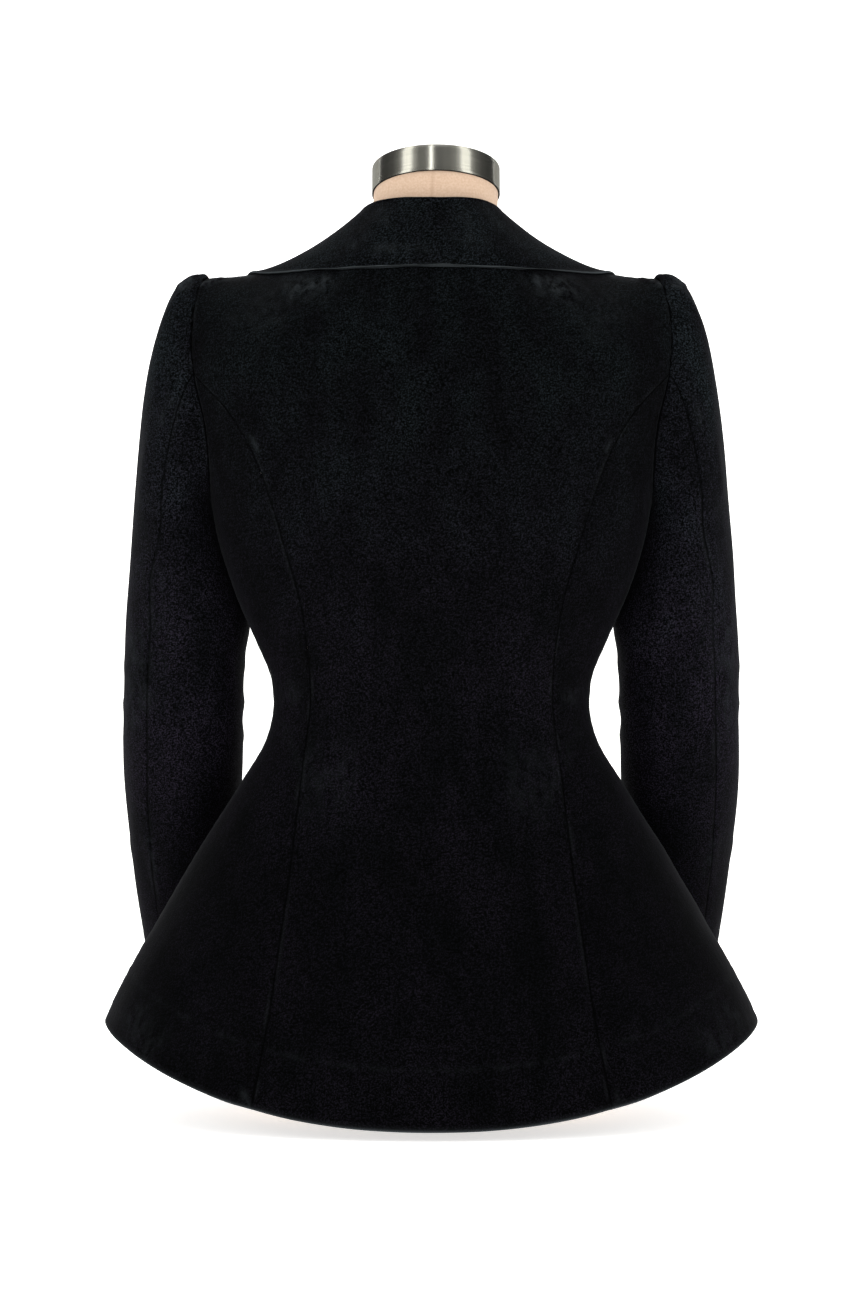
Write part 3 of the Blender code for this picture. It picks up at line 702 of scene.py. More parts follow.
@dataclass(frozen=True)
class PaperSweep:
    """Matt white paper of the studio's floor and wall, faintly mottled."""

    name: str = "matt_white_studio_paper"
    ground: str = "#fbfbfa"
    shade: str = "#f6f6f5"
    glow: float = 0.62

    def build(self) -> bpy.types.Material:
        """The material.

        Returns:
            The paper's material.
        """
        finish = Finish(self.name)
        mottle = finish.noise(finish.place(), scale=3.0, detail=3.0)
        look = {
            "Base Color": finish.ramp(mottle, {0.3: linear(self.shade), 0.7: linear(self.ground)}),
            "Roughness": 0.95,
            "Emission Color": WHITE,
            "Emission Strength": self.glow,
        }
        finish.fill(finish.shader, look)
        return finish.material


# Cloth


class Edge(Enum):
    """How an edge of a panel is finished."""

    SEAM = "sewn to its neighbour"
    # The bright line along a turned edge is a painted sheen highlight
    TURNED = "folded under, with a bright line of pile"
    HIDDEN = "raw, under another piece"


class View(Enum):
    """The two axes in which a crease or mark is set out."""

    BEHIND = (0, 2)
    SIDE = (1, 2)


class Crease(NamedTuple):
    """A soft ridge, or a trough where its rise is below 0."""

    view: View
    start: tuple[float, float]
    end: tuple[float, float]
    width: float
    rise: float


class Mark(NamedTuple):
    """A patch or line painted lighter: pile that lies the other way, and painted highlights along
    the crests of creases.
    """

    view: View
    start: tuple[float, float]
    end: tuple[float, float]
    width: float
    strength: float


def seen(kind: type, view: View, *rows: Sequence[float]) -> tuple:
    """Creases or marks in one view, from rows of a start, an end, a width and a strength."""
    return tuple(kind(view, row[:2], row[2:4], *row[4:]) for row in rows)


def beside(points: Array, view: View, start: Sequence[float], end: Sequence[float]) -> tuple:
    """How far points lie from a line, and how far along it.

    Args:
        points: the points.
        view: the two axes in which the line is set out.
        start: the line's start in those axes.
        end: the line's end.

    Returns:
        The distance from the line, and a soft window that fades out at its ends.
    """
    flat = points[..., list(view.value)]
    start, end = np.array(start), np.array(end)
    line = end - start
    share = ((flat - start) @ line) / (line @ line)
    near = start + np.clip(share, 0, 1)[..., None] * line
    window = np.clip(np.minimum(share, 1 - share) * 4 + 0.35, 0, 1)
    return np.linalg.norm(flat - near, axis=-1), eased(window)


@dataclass(frozen=True)
class Sewing:
    """How far seams, turned edges and the hem's stitches stand out, and the highlights and shade
    painted along them.
    """

    pucker: float = 0.16 * MM
    pucker_pitch: float = 0.0105
    pucker_drift: float = 0.037
    pucker_fade: float = 0.007
    groove: float = 0.42 * MM
    groove_width: float = 0.0011
    swell: float = 0.25 * MM
    swell_at: float = 0.0045
    full: float = 0.35 * MM
    full_at: float = 0.004
    soft: float = 0.003
    # Painted highlights in short strokes just beside the seams
    seam_sheen: float = 0.03
    seam_sheen_pitch: float = 0.019
    seam_sheen_drift: float = 0.05
    # A painted sheen highlight along each turned edge
    rim: float = 0.75
    rim_pitch: float = 0.023
    rim_width: float = 0.0008
    hem_step: float = 0.30 * MM
    hem_width: float = 0.0022
    # A painted highlight along the hem's step
    hem_step_highlight: float = 0.10
    shade: float = 0.85
    rounding: float = 0.92
    inner: float = 0.5


SEWING = Sewing()


@dataclass
class Sheet:
    """One panel of cloth as a grid of its outer points. Rows run up, columns run leftwards."""

    name: str
    nodes: tuple[str, ...]
    points: Array
    flat: tuple[float, float]
    area: float
    held: str = "draped"
    rests_on: tuple[str, ...] = ("form_torso",)
    bottom: Edge = Edge.SEAM
    top: Edge = Edge.SEAM
    first: Edge = Edge.SEAM
    last: Edge = Edge.SEAM
    creases: Sequence[Crease] = ()
    marks: Sequence[Mark] = ()
    hem_line: float = 0.0
    cloth: float = 0.002
    tuck: float = 0.0014
    wander: float = 0.00025
    phase: float = 0.0
    # Each panel's own tone of black: partly the lie of its pile, partly painted shade
    nap: float = 1.0
    # Painted shade that darkens the cloth towards the bottom, between these two heights
    low_from: float = 0.36
    low_to: float = 0.14
    low_painted_shade: float = 0.32
    # Per point: painted sheen highlights, lighter marks, closeness to seams, and the pile's tone
    # with painted shade
    edge: Array = field(init=False)
    brushed: Array = field(init=False)
    seam: Array = field(init=False)
    depth: Array = field(init=False)
    uv: Array = field(init=False)

    def distances(self) -> dict[str, Array]:
        """How far each point lies from each of the four edges, along the cloth.

        Returns:
            One grid of distances for each edge, by the edge's name.
        """
        across = np.linalg.norm(np.diff(self.points, axis=1), axis=-1)
        up = np.linalg.norm(np.diff(self.points, axis=0), axis=-1)
        u = np.concatenate([np.zeros((len(self.points), 1)), np.cumsum(across, axis=1)], axis=1)
        v = np.concatenate([np.zeros((1, self.points.shape[1])), np.cumsum(up, axis=0)], axis=0)
        middle = u[:, [u.shape[1] // 2]]
        self.uv = np.stack([u - middle, v], axis=-1)
        return {"bottom": v, "top": v[-1:] - v, "first": u, "last": u[:, -1:] - u}

    def sewn(self, away: Array, along: Array) -> Array:
        """A seam's groove with the small puckers that its stitches draw.

        Args:
            away: the distance from the seam.
            along: the distance along it.

        Returns:
            How far the cloth stands out.
        """
        size = SEWING
        drift = 2.0 * np.sin(along / size.pucker_drift)
        puckers = np.sin(along / size.pucker_pitch * 2 * math.pi + self.phase + drift)
        drawn = size.pucker * puckers * np.exp(-away / size.pucker_fade)
        groove = -size.groove * np.exp(-away / size.groove_width)
        return drawn + groove + size.swell * bump(away - size.swell_at, size.soft)

    def dress(self) -> None:
        """Lays the seams, folds, creases and lighter pile on the grid, with painted highlights and
        painted shade.
        """
        size, away = SEWING, self.distances()
        shift, self.edge, self.brushed, self.seam = np.zeros((4, *self.points.shape[:2]))
        for name, distance in away.items():
            along = away["bottom"] if name in ("first", "last") else away["first"]
            finish = getattr(self, name)
            if finish is Edge.SEAM:
                shift += self.sewn(distance, along)
                self.seam += bump(distance, size.groove_width)
                # Painted highlights in short strokes just beside the seam
                drift = 2 * np.sin(along / size.seam_sheen_drift)
                seam_sheen = np.clip(np.sin(along / size.seam_sheen_pitch + self.phase + drift), 0, 1)
                at = distance - 2 * size.groove_width
                self.edge += size.seam_sheen * seam_sheen**3 * bump(at, size.groove_width)
            elif finish is Edge.TURNED:
                shift += size.full * bump(distance - size.full_at, size.soft)
                # A painted sheen highlight along the turned edge's fold
                even = 0.85 + 0.15 * np.sin(along / size.rim_pitch + self.phase)
                self.edge += size.rim * even * np.exp(-distance / size.rim_width)
        for crease in self.creases:
            distance, window = beside(self.points, crease.view, crease.start, crease.end)
            shift += crease.rise * window * bump(distance, crease.width)
        # Lighter marks: patches of pile lying the other way, and painted highlights on the crests
        # of creases
        for mark in self.marks:
            distance, window = beside(self.points, mark.view, mark.start, mark.end)
            self.brushed += mark.strength * window * bump(distance, mark.width)
        if self.hem_line:
            level = away["bottom"] - self.hem_line
            step = np.exp(-np.abs(level) / size.hem_width) * np.sign(-level)
            shift += size.hem_step * step
            # A painted highlight along the hem's step
            self.brushed += size.hem_step_highlight * bump(level, size.hem_width)
        x, y, z = np.moveaxis(self.points, -1, 0)
        # Waves of 6 to 27 centimetres, shifted by the panel's phase
        rolling = np.sin(x * 61 + z * 23 + self.phase) * np.sin(z * 47 - y * 31 + 1.3)
        rolling += 0.6 * np.sin(x * 113 - y * 89 + z * 71 + self.phase * 2)
        shift += self.wander * rolling
        self.points = self.points + grid_normals(self.points) * shift[..., None]
        self.edge = np.clip(self.edge, 0, 1)
        # Painted shade: darker towards the bottom of the cloth and in the seams' grooves, over each
        # panel's tone
        low = np.clip((self.low_from - z) / (self.low_from - self.low_to), 0, 1)
        self.depth = self.nap * (1 - self.low_painted_shade * eased(low))
        self.depth *= 1 - size.shade * np.clip(self.seam, 0, 1)
        self.brushed = np.clip(self.brushed, 0, 1)

    def tucked(self, points: Array) -> Array:
        """The inner points with each sewn edge run on under its neighbour, as its allowance.

        Args:
            points: the inner points.

        Returns:
            The points, with their edges moved.
        """
        points = points.copy()
        sides = (("bottom", 0, 0, 1), ("top", 0, -1, -2), ("first", 1, 0, 1), ("last", 1, -1, -2))
        for name, axis, edge, near in sides:
            if getattr(self, name) is not Edge.SEAM:
                continue
            lines = np.moveaxis(points, axis, 0)
            along = unit(np.gradient(lines[edge], axis=0))
            outward = lines[edge] - lines[near]
            outward = outward - along * np.sum(outward * along, axis=-1, keepdims=True)
            lines[edge] += unit(outward) * self.tuck
        return points

    def build(self, material: bpy.types.Material) -> bpy.types.Object:
        """Args:
            material: the cloth's material.

        Returns:
            The finished piece.
        """
        away = self.distances()
        self.dress()
        free = [away[name] for name in away if getattr(self, name) is not Edge.SEAM]
        near = np.minimum.reduce(free) if free else np.full(self.points.shape[:2], 1.0)
        radius = self.cloth / 2
        into = np.clip(1 - near / radius, 0, 1)
        rounding = radius * (1 - np.sqrt(np.maximum(0.0, 1 - into**2))) * SEWING.rounding
        normals = grid_normals(self.points)
        outer = self.points - normals * rounding[..., None]
        inner = self.tucked(self.points - normals * (self.cloth - rounding)[..., None])
        rows, columns = near.shape
        index = np.arange(rows * columns).reshape(rows, columns)
        under = rows * columns
        corners = [index[:-1, :-1], index[1:, :-1], index[1:, 1:], index[:-1, 1:]]
        faces = [np.stack(corners, -1), np.stack(corners[:1] + corners[:0:-1], -1) + under]
        border = np.concatenate(
            [index[0], index[1:, -1], index[-1, -2::-1], index[-2:0:-1, 0]]
        )
        after = np.roll(border, -1)
        faces.append(np.stack([border, after, after + under, border + under], -1))
        quads = np.concatenate([part.reshape(-1, 4) for part in faces])
        made = mesh_piece(self.name, np.concatenate([outer, inner]).reshape(-1, 3), quads)
        layers = {"edge": self.edge, "brushed": self.brushed, "nap": self.depth}
        for name, values in layers.items():
            lay_on(made, name, np.concatenate([values, values * SEWING.inner]))
        paint_uv(made, np.concatenate([self.uv, self.uv]).reshape(-1, 2))
        made.data.materials.append(material)
        log.info(
            "%s: %d faces, cloth %.3f x %.3f m, %.4f m2",
            self.name,
            len(quads),
            float(away["first"][:, -1].max()),
            float(away["bottom"][-1].max()),
            float(sheet_area(self.points)),
        )
        keep(made, self.nodes)
        return made


def sheet_area(points: Array) -> float:
    """The area of a grid."""
    one = np.cross(points[1:, :-1] - points[:-1, :-1], points[1:, 1:] - points[:-1, :-1])
    two = np.cross(points[1:, 1:] - points[:-1, :-1], points[:-1, 1:] - points[:-1, :-1])
    return float((np.linalg.norm(one, axis=-1) + np.linalg.norm(two, axis=-1)).sum() / 2)


def mesh_piece(name: str, points: Array, faces: Sequence[Sequence[int]]) -> bpy.types.Object:
    """A smooth object from points and faces.

    Args:
        name: the piece's name.
        points: its points.
        faces: its faces, outward.

    Returns:
        The object, in the scene.
    """
    mesh = bpy.data.meshes.new(name)
    mesh.from_pydata(points.tolist(), [], [list(map(int, face)) for face in faces])
    mesh.validate()
    mesh.shade_smooth()
    mesh.set_sharp_from_angle(angle=math.radians(50))
    made = bpy.data.objects.new(name, mesh)
    bpy.context.scene.collection.objects.link(made)
    return made


def lay_on(made: bpy.types.Object, name: str, values: Array) -> None:
    """Gives a piece an attribute, from one value for each of its points."""
    made.data.attributes.new(name, "FLOAT", "POINT").data.foreach_set("value", values.reshape(-1))


def tube_faces(rings: int, sides: int) -> list[list[int]]:
    """The faces of a closed tube of rings: its base, its wall and its top.

    Args:
        rings: how many rings.
        sides: how many points in a ring.

    Returns:
        The faces, outward.
    """
    faces = [list(range(sides))]
    for low in range(0, (rings - 1) * sides, sides):
        for step in range(sides):
            after, high = (step + 1) % sides, low + sides
            faces.append([low + after, low + step, high + step, high + after])
    faces.append([(rings - 1) * sides + step for step in reversed(range(sides))])
    return faces


def strip_faces(steps: int) -> list[list[int]]:
    """The faces of a strip that is one face wide."""
    return [[2 * i, 2 * i + 1, 2 * i + 3, 2 * i + 2] for i in range(steps)]


def paint_uv(made: bpy.types.Object, spots: Array) -> None:
    """Gives a piece a UV map in metres, from one spot for each of its points.

    Args:
        made: the piece.
        spots: the spot of each point.
    """
    layer = made.data.uv_layers.new(name="cloth")
    corners = np.zeros(len(made.data.loops), int)
    made.data.loops.foreach_get("vertex_index", corners)
    layer.data.foreach_set("uv", spots[corners].reshape(-1))


def keep(made: bpy.types.Object, nodes: Sequence[str]) -> None:
    """Puts a piece in the place of its solids, on the part's one body."""
    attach(made, "root")
    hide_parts(*nodes)


def mirrored(points: Array) -> Array:
    """The grid on the other side, in the order that keeps its faces outward."""
    return points[:, ::-1] * np.array([-1.0, 1.0, 1.0])


def swapped(items: Sequence[NamedTuple]) -> list:
    """Creases or marks on the other side of the body: only those seen from behind turn over.

    Args:
        items: the creases or marks.

    Returns:
        The same for the other side.
    """
    turned = []
    for item in items:
        if item.view is View.BEHIND:
            start, end = (-item.start[0], item.start[1]), (-item.end[0], item.end[1])
            item = item._replace(start=start, end=end)
        turned.append(item)
    return turned


# Body


@dataclass(frozen=True)
class Body:
    """The smooth surface that the body's panels are cut from."""

    hem_back: float = 0.0076
    hem_side: float = 0.0777
    hem_front: float = 0.0560
    hem_power: float = 2.15
    underarm: float = 0.520
    blade_level: float = 0.6225
    chest_level: float = 0.602
    lap_lift: float = 0.0013
    lap_fade: float = 0.028
    lap_top: float = 0.56
    lap_rise: float = 0.06
    bust: float = 0.010
    bust_half: float = 0.088
    bust_height: float = 0.540
    bust_width: float = 0.048
    bust_depth: float = 0.060
    flute: float = 0.003
    flute_at: float = 0.022
    flute_width: float = 0.020
    flute_dip: float = 0.014
    flare_top: float = 0.30
    neck_dip: float = 0.007
    neck_half: float = 0.066
    neck_back: float = 0.070
    sections: Table = field(default_factory=lambda: Table(SECTIONS))
    princess: Table = field(default_factory=lambda: Table(BACK_PRINCESS))
    shoulder: Table = field(default_factory=lambda: Table(SHOULDER))

    def point(self, angle: Array, height: Array, side: float = 1.0) -> Array:
        """Points of the outer surface.

        Args:
            angle: the angle round the body.
            height: the height.
            side: 1 over at the front closing, -1 under.

        Returns:
            The points.
        """
        angle, height = np.broadcast_arrays(np.asarray(angle, float), np.asarray(height, float))
        half, back, front, roundness = self.sections.at(height)
        across, along = np.sin(angle), np.cos(angle)
        x = half * signed_power(across, 2 / roundness)
        y = np.where(along > 0, back, front) * signed_power(along, 2 / roundness)
        flare = np.maximum(0.0, 1 - height / self.flare_top)
        offset = np.abs(x) - self.princess.at(height)[0]
        fold = bump(offset - self.flute_at, self.flute_width) - bump(offset, self.flute_dip)
        behind = self.flute * flare * fold
        level = bump(height - self.bust_height, self.bust_depth)
        before = self.bust * bump(np.abs(x) - self.bust_half, self.bust_width) * level
        closing = np.clip((self.lap_top - height) / self.lap_rise, 0, 1)
        lap = bump(np.maximum(0.0, np.abs(x) - LAP), self.lap_fade / 2)
        before = before + side * self.lap_lift * closing * np.minimum(1.0, lap)
        return points_of(x, y + np.where(along > 0, behind, -before), height)

    def angle_at(self, half_width: Array, height: Array, front: bool = False) -> Array:
        """The angle at which the surface is this far from the middle plane.

        Args:
            half_width: how far from the middle plane.
            height: at what height.
            front: whether on the front half.

        Returns:
            The angle round the body.
        """
        half, _, _, roundness = self.sections.at(height)
        share = np.minimum(np.abs(half_width) / half, 1.0)
        angle = np.copysign(np.arcsin(share ** (roundness / 2)), half_width)
        return math.pi - angle if front else angle

    def hem_height(self, angle: Array) -> Array:
        """The hem dips from the sides to the centre back, and a little to the front."""
        middle = np.where(np.cos(angle) > 0, self.hem_back, self.hem_front)
        return middle + (self.hem_side - middle) * np.abs(np.sin(angle)) ** self.hem_power

    def shoulder_point(self, half_width: Array) -> Array:
        """The shoulder seam at this distance from the middle."""
        depth, height = self.shoulder.at(half_width)
        return points_of(half_width, depth, height)

    def neck_point(self, half_width: Array) -> Array:
        """The back neckline at this distance from the middle.

        Args:
            half_width: how far from the middle plane.

        Returns:
            The points.
        """
        share = np.minimum(1.0, np.asarray(half_width, float) / self.neck_half)
        neck = self.shoulder_point(np.array(self.neck_half))
        y = neck[1] + self.neck_back * np.sqrt(np.maximum(0.0, 1 - share**2))
        return points_of(half_width, y, neck[2] - self.neck_dip * (1 - share**2))

    def yoke_point(self, angle: Array, top: Array, pull: Array, level: float, t: Array) -> Array:
        """Above the chest each column curves from its level section over to its top point.

        Args:
            angle: where the columns stand round the body.
            top: the point in which each column ends.
            pull: the column's pull at its top, for a length of 1.
            level: the height at which the columns start.
            t: the shares of the columns to read.

        Returns:
            The points.
        """
        start = self.point(angle, level)
        up = unit(start - self.point(angle, level - 0.004))
        length = np.linalg.norm(top - start, axis=-1, keepdims=True)
        return hermite(start, up * length, top, pull * length, t)


class SeamLine:
    """A line up the body from the hem to a height: a table's half widths, or a fixed angle."""

    def __init__(
        self,
        body: Body,
        top: float,
        rows: Optional[Sequence[Seam]] = None,
        front: bool = False,
        fixed: float = 0.0,
    ) -> None:
        """Finds where the line meets the hem.

        Args:
            body: the body that the line runs up.
            top: the height of its upper end.
            rows: the table of half widths, if it has one.
            front: whether it runs up the front.
            fixed: the angle, where it has no table.
        """
        self.body, self.top, self.front, self.fixed = body, top, front, fixed
        self.table = Table(rows) if rows else None
        self.foot = body.hem_side
        for _ in range(20):
            self.foot = float(body.hem_height(self.angle(self.foot)))

    def angle(self, height: Array) -> Array:
        """The angle round the body at this height."""
        if self.table is None:
            return np.full(np.shape(height), self.fixed)
        return self.body.angle_at(self.table.at(height)[0], height, self.front)

    def at(self, share: Array) -> Array:
        """The angle at this share of the line's height."""
        return self.angle(mix(self.foot, self.top, np.asarray(share, float)))


class Steep(Enum):
    """The end at which a panel's columns crowd up the armhole."""

    NONE = 0
    FIRST = 1
    LAST = 2


class BodyGrids:
    """Grids of the outer points of the body's panels, for the left half and the whole back."""

    corner = 0.30
    corner_from = 0.68
    lower_length = 0.63
    yoke_length = 0.13
    back_width = 0.200
    side_width = 0.115
    side_length = 0.55
    front_width = 0.150
    front_pull = 0.70
    neck_pull = (-0.35, 0.75)
    shoulder_pull = (-0.75, 0.0)

    def __init__(self, body: Body, step: float) -> None:
        """Builds every grid.

        Args:
            body: the surface that they are cut from.
            step: the distance between points.
        """
        self.body, self.step = body, step
        self.middle = SeamLine(body, body.blade_level)
        self.back_seam = SeamLine(body, body.blade_level, BACK_PRINCESS)
        self.side_seam = SeamLine(body, body.underarm, fixed=math.pi / 2)
        self.front_seam = SeamLine(body, body.chest_level, FRONT_PRINCESS, front=True)
        self.closing = SeamLine(body, body.chest_level, FRONT_EDGE, front=True)
        half = spread(self.back_width, step, fine_start=False)
        shares = np.concatenate([-half[:0:-1], half])
        lower = spread(self.lower_length, step, fine_end=False)
        self.yoke_rows = spread(self.yoke_length, step, fine_start=False)
        self.back_lower = lower
        back = self.lower(self.middle, self.back_seam, shares, lower)
        self.back = np.concatenate([back, self.back_yoke(shares, self.yoke_rows[1:])])
        columns, rows = spread(self.side_width, step), spread(self.side_length, step)
        self.side_back = self.lower(self.back_seam, self.side_seam, columns, rows, Steep.FIRST)
        self.side_front = self.lower(self.side_seam, self.front_seam, columns, rows, Steep.LAST)
        columns = spread(self.front_width, step)
        self.front_over = self.front(columns, lower, 1.0)
        self.front_under = self.front(columns, lower, -1.0)

    def crown_height(self, angle: Array) -> Array:
        """The top of the lower panels: level, with the armhole's lower curve cut out.

        Args:
            angle: the angle round the body.

        Returns:
            The height at each angle.
        """
        body = self.body
        first, last = float(self.back_seam.at(1)), float(self.front_seam.at(1))
        ahead = angle > math.pi / 2
        end = np.where(ahead, last, first)
        level = np.where(ahead, body.chest_level, body.blade_level)
        share = np.minimum(1.0, np.abs(angle - math.pi / 2) / np.abs(end - math.pi / 2))
        curve = body.underarm + (level - body.underarm) * (1 - np.sqrt(1 - share**2))
        curve = np.where(angle <= first, body.blade_level, curve)
        return np.where(angle >= last, body.chest_level, curve)

    def lower(
        self,
        first: SeamLine,
        last: SeamLine,
        shares: Array,
        rows: Array,
        steep: Steep = Steep.NONE,
        side: float = 1.0,
    ) -> Array:
        """A grid between two lines, from the hem up.

        Args:
            first: the line of its first column.
            last: the line of its last column.
            shares: where its columns stand between them.
            rows: where its rows stand between the hem and the top.
            steep: the end where its columns crowd up the armhole.
            side: 1 over at the front closing, -1 under.

        Returns:
            The grid's points.
        """
        share, t = shares[None, :], rows[:, None]
        top_share = share
        if steep is Steep.FIRST:
            top_share = 1 - np.sin((1 - share) * math.pi / 2)
        elif steep is Steep.LAST:
            top_share = np.sin(share * math.pi / 2)
        foot = mix(first.at(0), last.at(0), share)
        top = mix(first.at(1), last.at(1), top_share)
        angle = mix(first.at(t), last.at(t), mix(share, top_share, t**2))
        height = mix(self.body.hem_height(foot), self.crown_height(top), t)
        return self.body.point(angle, height, side)

    def back_yoke(self, shares: Array, rows: Array) -> Array:
        """The back above the blades.

        Args:
            shares: where the columns stand, from -1 to 1.
            rows: where the rows stand, from 0 to 1.

        Returns:
            The grid's points.
        """
        columns = np.array(BACK_COLUMNS)
        half_width = np.interp(np.abs(shares), columns[:, 0], columns[:, 1])
        neck = half_width < self.body.neck_half
        over, round_neck = self.body.shoulder_point(half_width), self.body.neck_point(half_width)
        top = np.where(neck[:, None], round_neck, over)
        lean = np.minimum(1.0, half_width / self.body.neck_half) ** 2
        corner = np.clip((np.abs(shares) - self.corner_from) / (1 - self.corner_from), 0, 1)
        depth, rise = (mix(a, b, lean) for a, b in zip(self.neck_pull, self.shoulder_pull))
        pull = points_of(-self.corner * corner, depth, rise)
        angle = np.abs(shares) * self.back_seam.at(1)
        t = rows[:, None, None]
        points = self.body.yoke_point(angle, top, pull, self.body.blade_level, t)
        points[..., 0] = np.copysign(points[..., 0], shares)
        return points

    def front_yoke(self, shares: Array, rows: Array) -> Array:
        """The front above the chest, from the neckline (share 0) to the armhole (share 1).

        Args:
            shares: where the columns stand.
            rows: where the rows stand, from 0 to 1.

        Returns:
            The grid's points.
        """
        angle = mix(self.closing.at(1), self.front_seam.at(1), shares)
        top = self.body.shoulder_point(mix(self.body.neck_half, SHOULDER[-1].half_width, shares))
        pull = np.array([0.0, self.front_pull, 0.0])
        t = rows[:, None, None]
        return self.body.yoke_point(angle, top, pull, self.body.chest_level, t)

    def front(self, columns: Array, rows: Array, side: float) -> Array:
        """A whole front panel, from its hem to the shoulder."""
        lower = self.lower(self.front_seam, self.closing, columns, rows, side=side)
        return np.concatenate([lower, self.front_yoke(1 - columns, self.yoke_rows[1:])])

    def left(self, front: Array) -> list[Array]:
        """The grids that the left half rests on, with this front."""
        return [self.back, self.side_back, self.side_front, front]


BACK_CREASES = seen(Crease, View.BEHIND,
    (0.118, 0.6835, 0.105, 0.701, 0.0034, 0.0013), (0.108, 0.685, 0.098, 0.6995, 0.003, 0.0011),
    (0.112, 0.685, 0.101, 0.7, 0.0022, -0.0009), (0.091, 0.696, 0.083, 0.7015, 0.0036, 0.0009),
    (0.132, 0.686, 0.12, 0.696, 0.004, 0.0007), (0.196, 0.6985, 0.176, 0.707, 0.0026, 0.0014),
    (0.14, 0.356, 0.104, 0.349, 0.005, 0.0006), (0.098, 0.364, 0.06, 0.36, 0.006, 0.0005),
    (0.1, 0.34, 0.05, 0.333, 0.006, -0.0004),
)
# Painted highlights on the crests of the creases above, and patches of pile lying the other way
BACK_MARKS = seen(Mark, View.BEHIND,
    (0.118, 0.6835, 0.104, 0.701, 0.0034, 0.42), (0.107, 0.686, 0.096, 0.701, 0.0034, 0.52),
    (0.092, 0.696, 0.084, 0.7015, 0.0046, 0.42), (0.128, 0.698, 0.08, 0.69, 0.012, 0.2),
    (0.195, 0.699, 0.178, 0.7062, 0.0022, 0.95), (0.178, 0.706, 0.15, 0.709, 0.0024, 0.45),
    (0.16, 0.686, 0.12, 0.656, 0.024, 0.12), (0.11, 0.29, 0.06, 0.28, 0.03, 0.1),
    (0.15, 0.57, 0.143, 0.556, 0.0016, 0.45),
)
# Painted highlights on the crests of the waist creases and by the hem's seam, and patches of pile
# lying the other way
SIDE_MARKS = seen(Mark, View.BEHIND,
    (0.126, 0.364, 0.112, 0.348, 0.008, 0.14), (0.127, 0.336, 0.107, 0.29, 0.005, 0.08),
    (0.152, 0.039, 0.147, 0.024, 0.0022, 0.3), (0.255, 0.095, 0.225, 0.06, 0.016, 0.14),
)
SIDE_CREASES = seen(Crease, View.BEHIND,
    (0.136, 0.358, 0.104, 0.35, 0.005, 0.0006), (0.134, 0.336, 0.106, 0.339, 0.005, -0.0005),
    (0.23, 0.15, 0.262, 0.082, 0.016, 0.001),
)
FRONT_CREASES = seen(Crease, View.BEHIND,
    (0.1, 0.356, 0.045, 0.35, 0.006, 0.0005), (0.09, 0.336, 0.04, 0.34, 0.006, -0.0004),
    (0.17, 0.59, 0.14, 0.63, 0.006, 0.0007),
)
FRONT_MARKS = seen(Mark, View.BEHIND,
    (0.08, 0.54, 0.095, 0.48, 0.024, 0.12), (0.1, 0.26, 0.06, 0.15, 0.03, 0.1),
)


@dataclass
class JacketBody:
    """The back, the side panels and the two fronts."""

    grids: BodyGrids
    velvet: bpy.types.Material
    hem_turn: float = 0.050

    def sheets(self) -> list[Sheet]:
        """Every panel, with its finish and the size it was cut to.

        Returns:
            The sheets, from the back round to the fronts.
        """
        g = self.grids
        hem = {"bottom": Edge.TURNED, "hem_line": self.hem_turn}
        creases = [*BACK_CREASES, *swapped(BACK_CREASES)]
        marks = [*BACK_MARKS, *swapped(BACK_MARKS)]
        looks = {"nap": 0.92, "creases": creases, "marks": marks}
        made = [Sheet("back_panel", ("back",), g.back, (0.48, 0.81), 0.220, **looks, **hem)]
        sides = (
            ("side_back", g.side_back, (0.235, 0.655), 0.071, 0.80, SIDE_CREASES, SIDE_MARKS),
            ("side_front", g.side_front, (0.205, 0.625), 0.072, 0.80, (), ()),
        )
        for name, grid, flat, area, nap, creases, marks in sides:
            for side, points in (("left", grid), ("right", mirrored(grid))):
                turn = swapped if side == "right" else list
                looks = {"nap": nap, "creases": turn(creases), "marks": turn(marks)}
                looks["phase"] = 1.7 if side == "left" else 4.1
                names = f"{name}_panel_{side}", (f"{name}_{side}",)
                made.append(Sheet(*names, points, flat, area, **looks, **hem))
        fronts = (("left", g.front_under, list), ("right", mirrored(g.front_over), swapped))
        for side, points, turn in fronts:
            looks = {"creases": turn(FRONT_CREASES), "marks": turn(FRONT_MARKS)}
            looks["phase"] = 2.9 if side == "left" else 5.2
            looks["last" if side == "left" else "first"] = Edge.TURNED
            names = f"front_panel_{side}", (f"front_{side}",)
            made.append(Sheet(*names, points, (0.19, 0.785), 0.099, **looks, **hem))
        return made

    def build(self) -> None:
        """Makes every panel."""
        for sheet in self.sheets():
            sheet.build(self.velvet)


# Sleeves


class Pleat(NamedTuple):
    """A small pleat of the sleeve's head: where it stands round the sleeve, and its size."""

    turn: float
    width: float
    depth: float


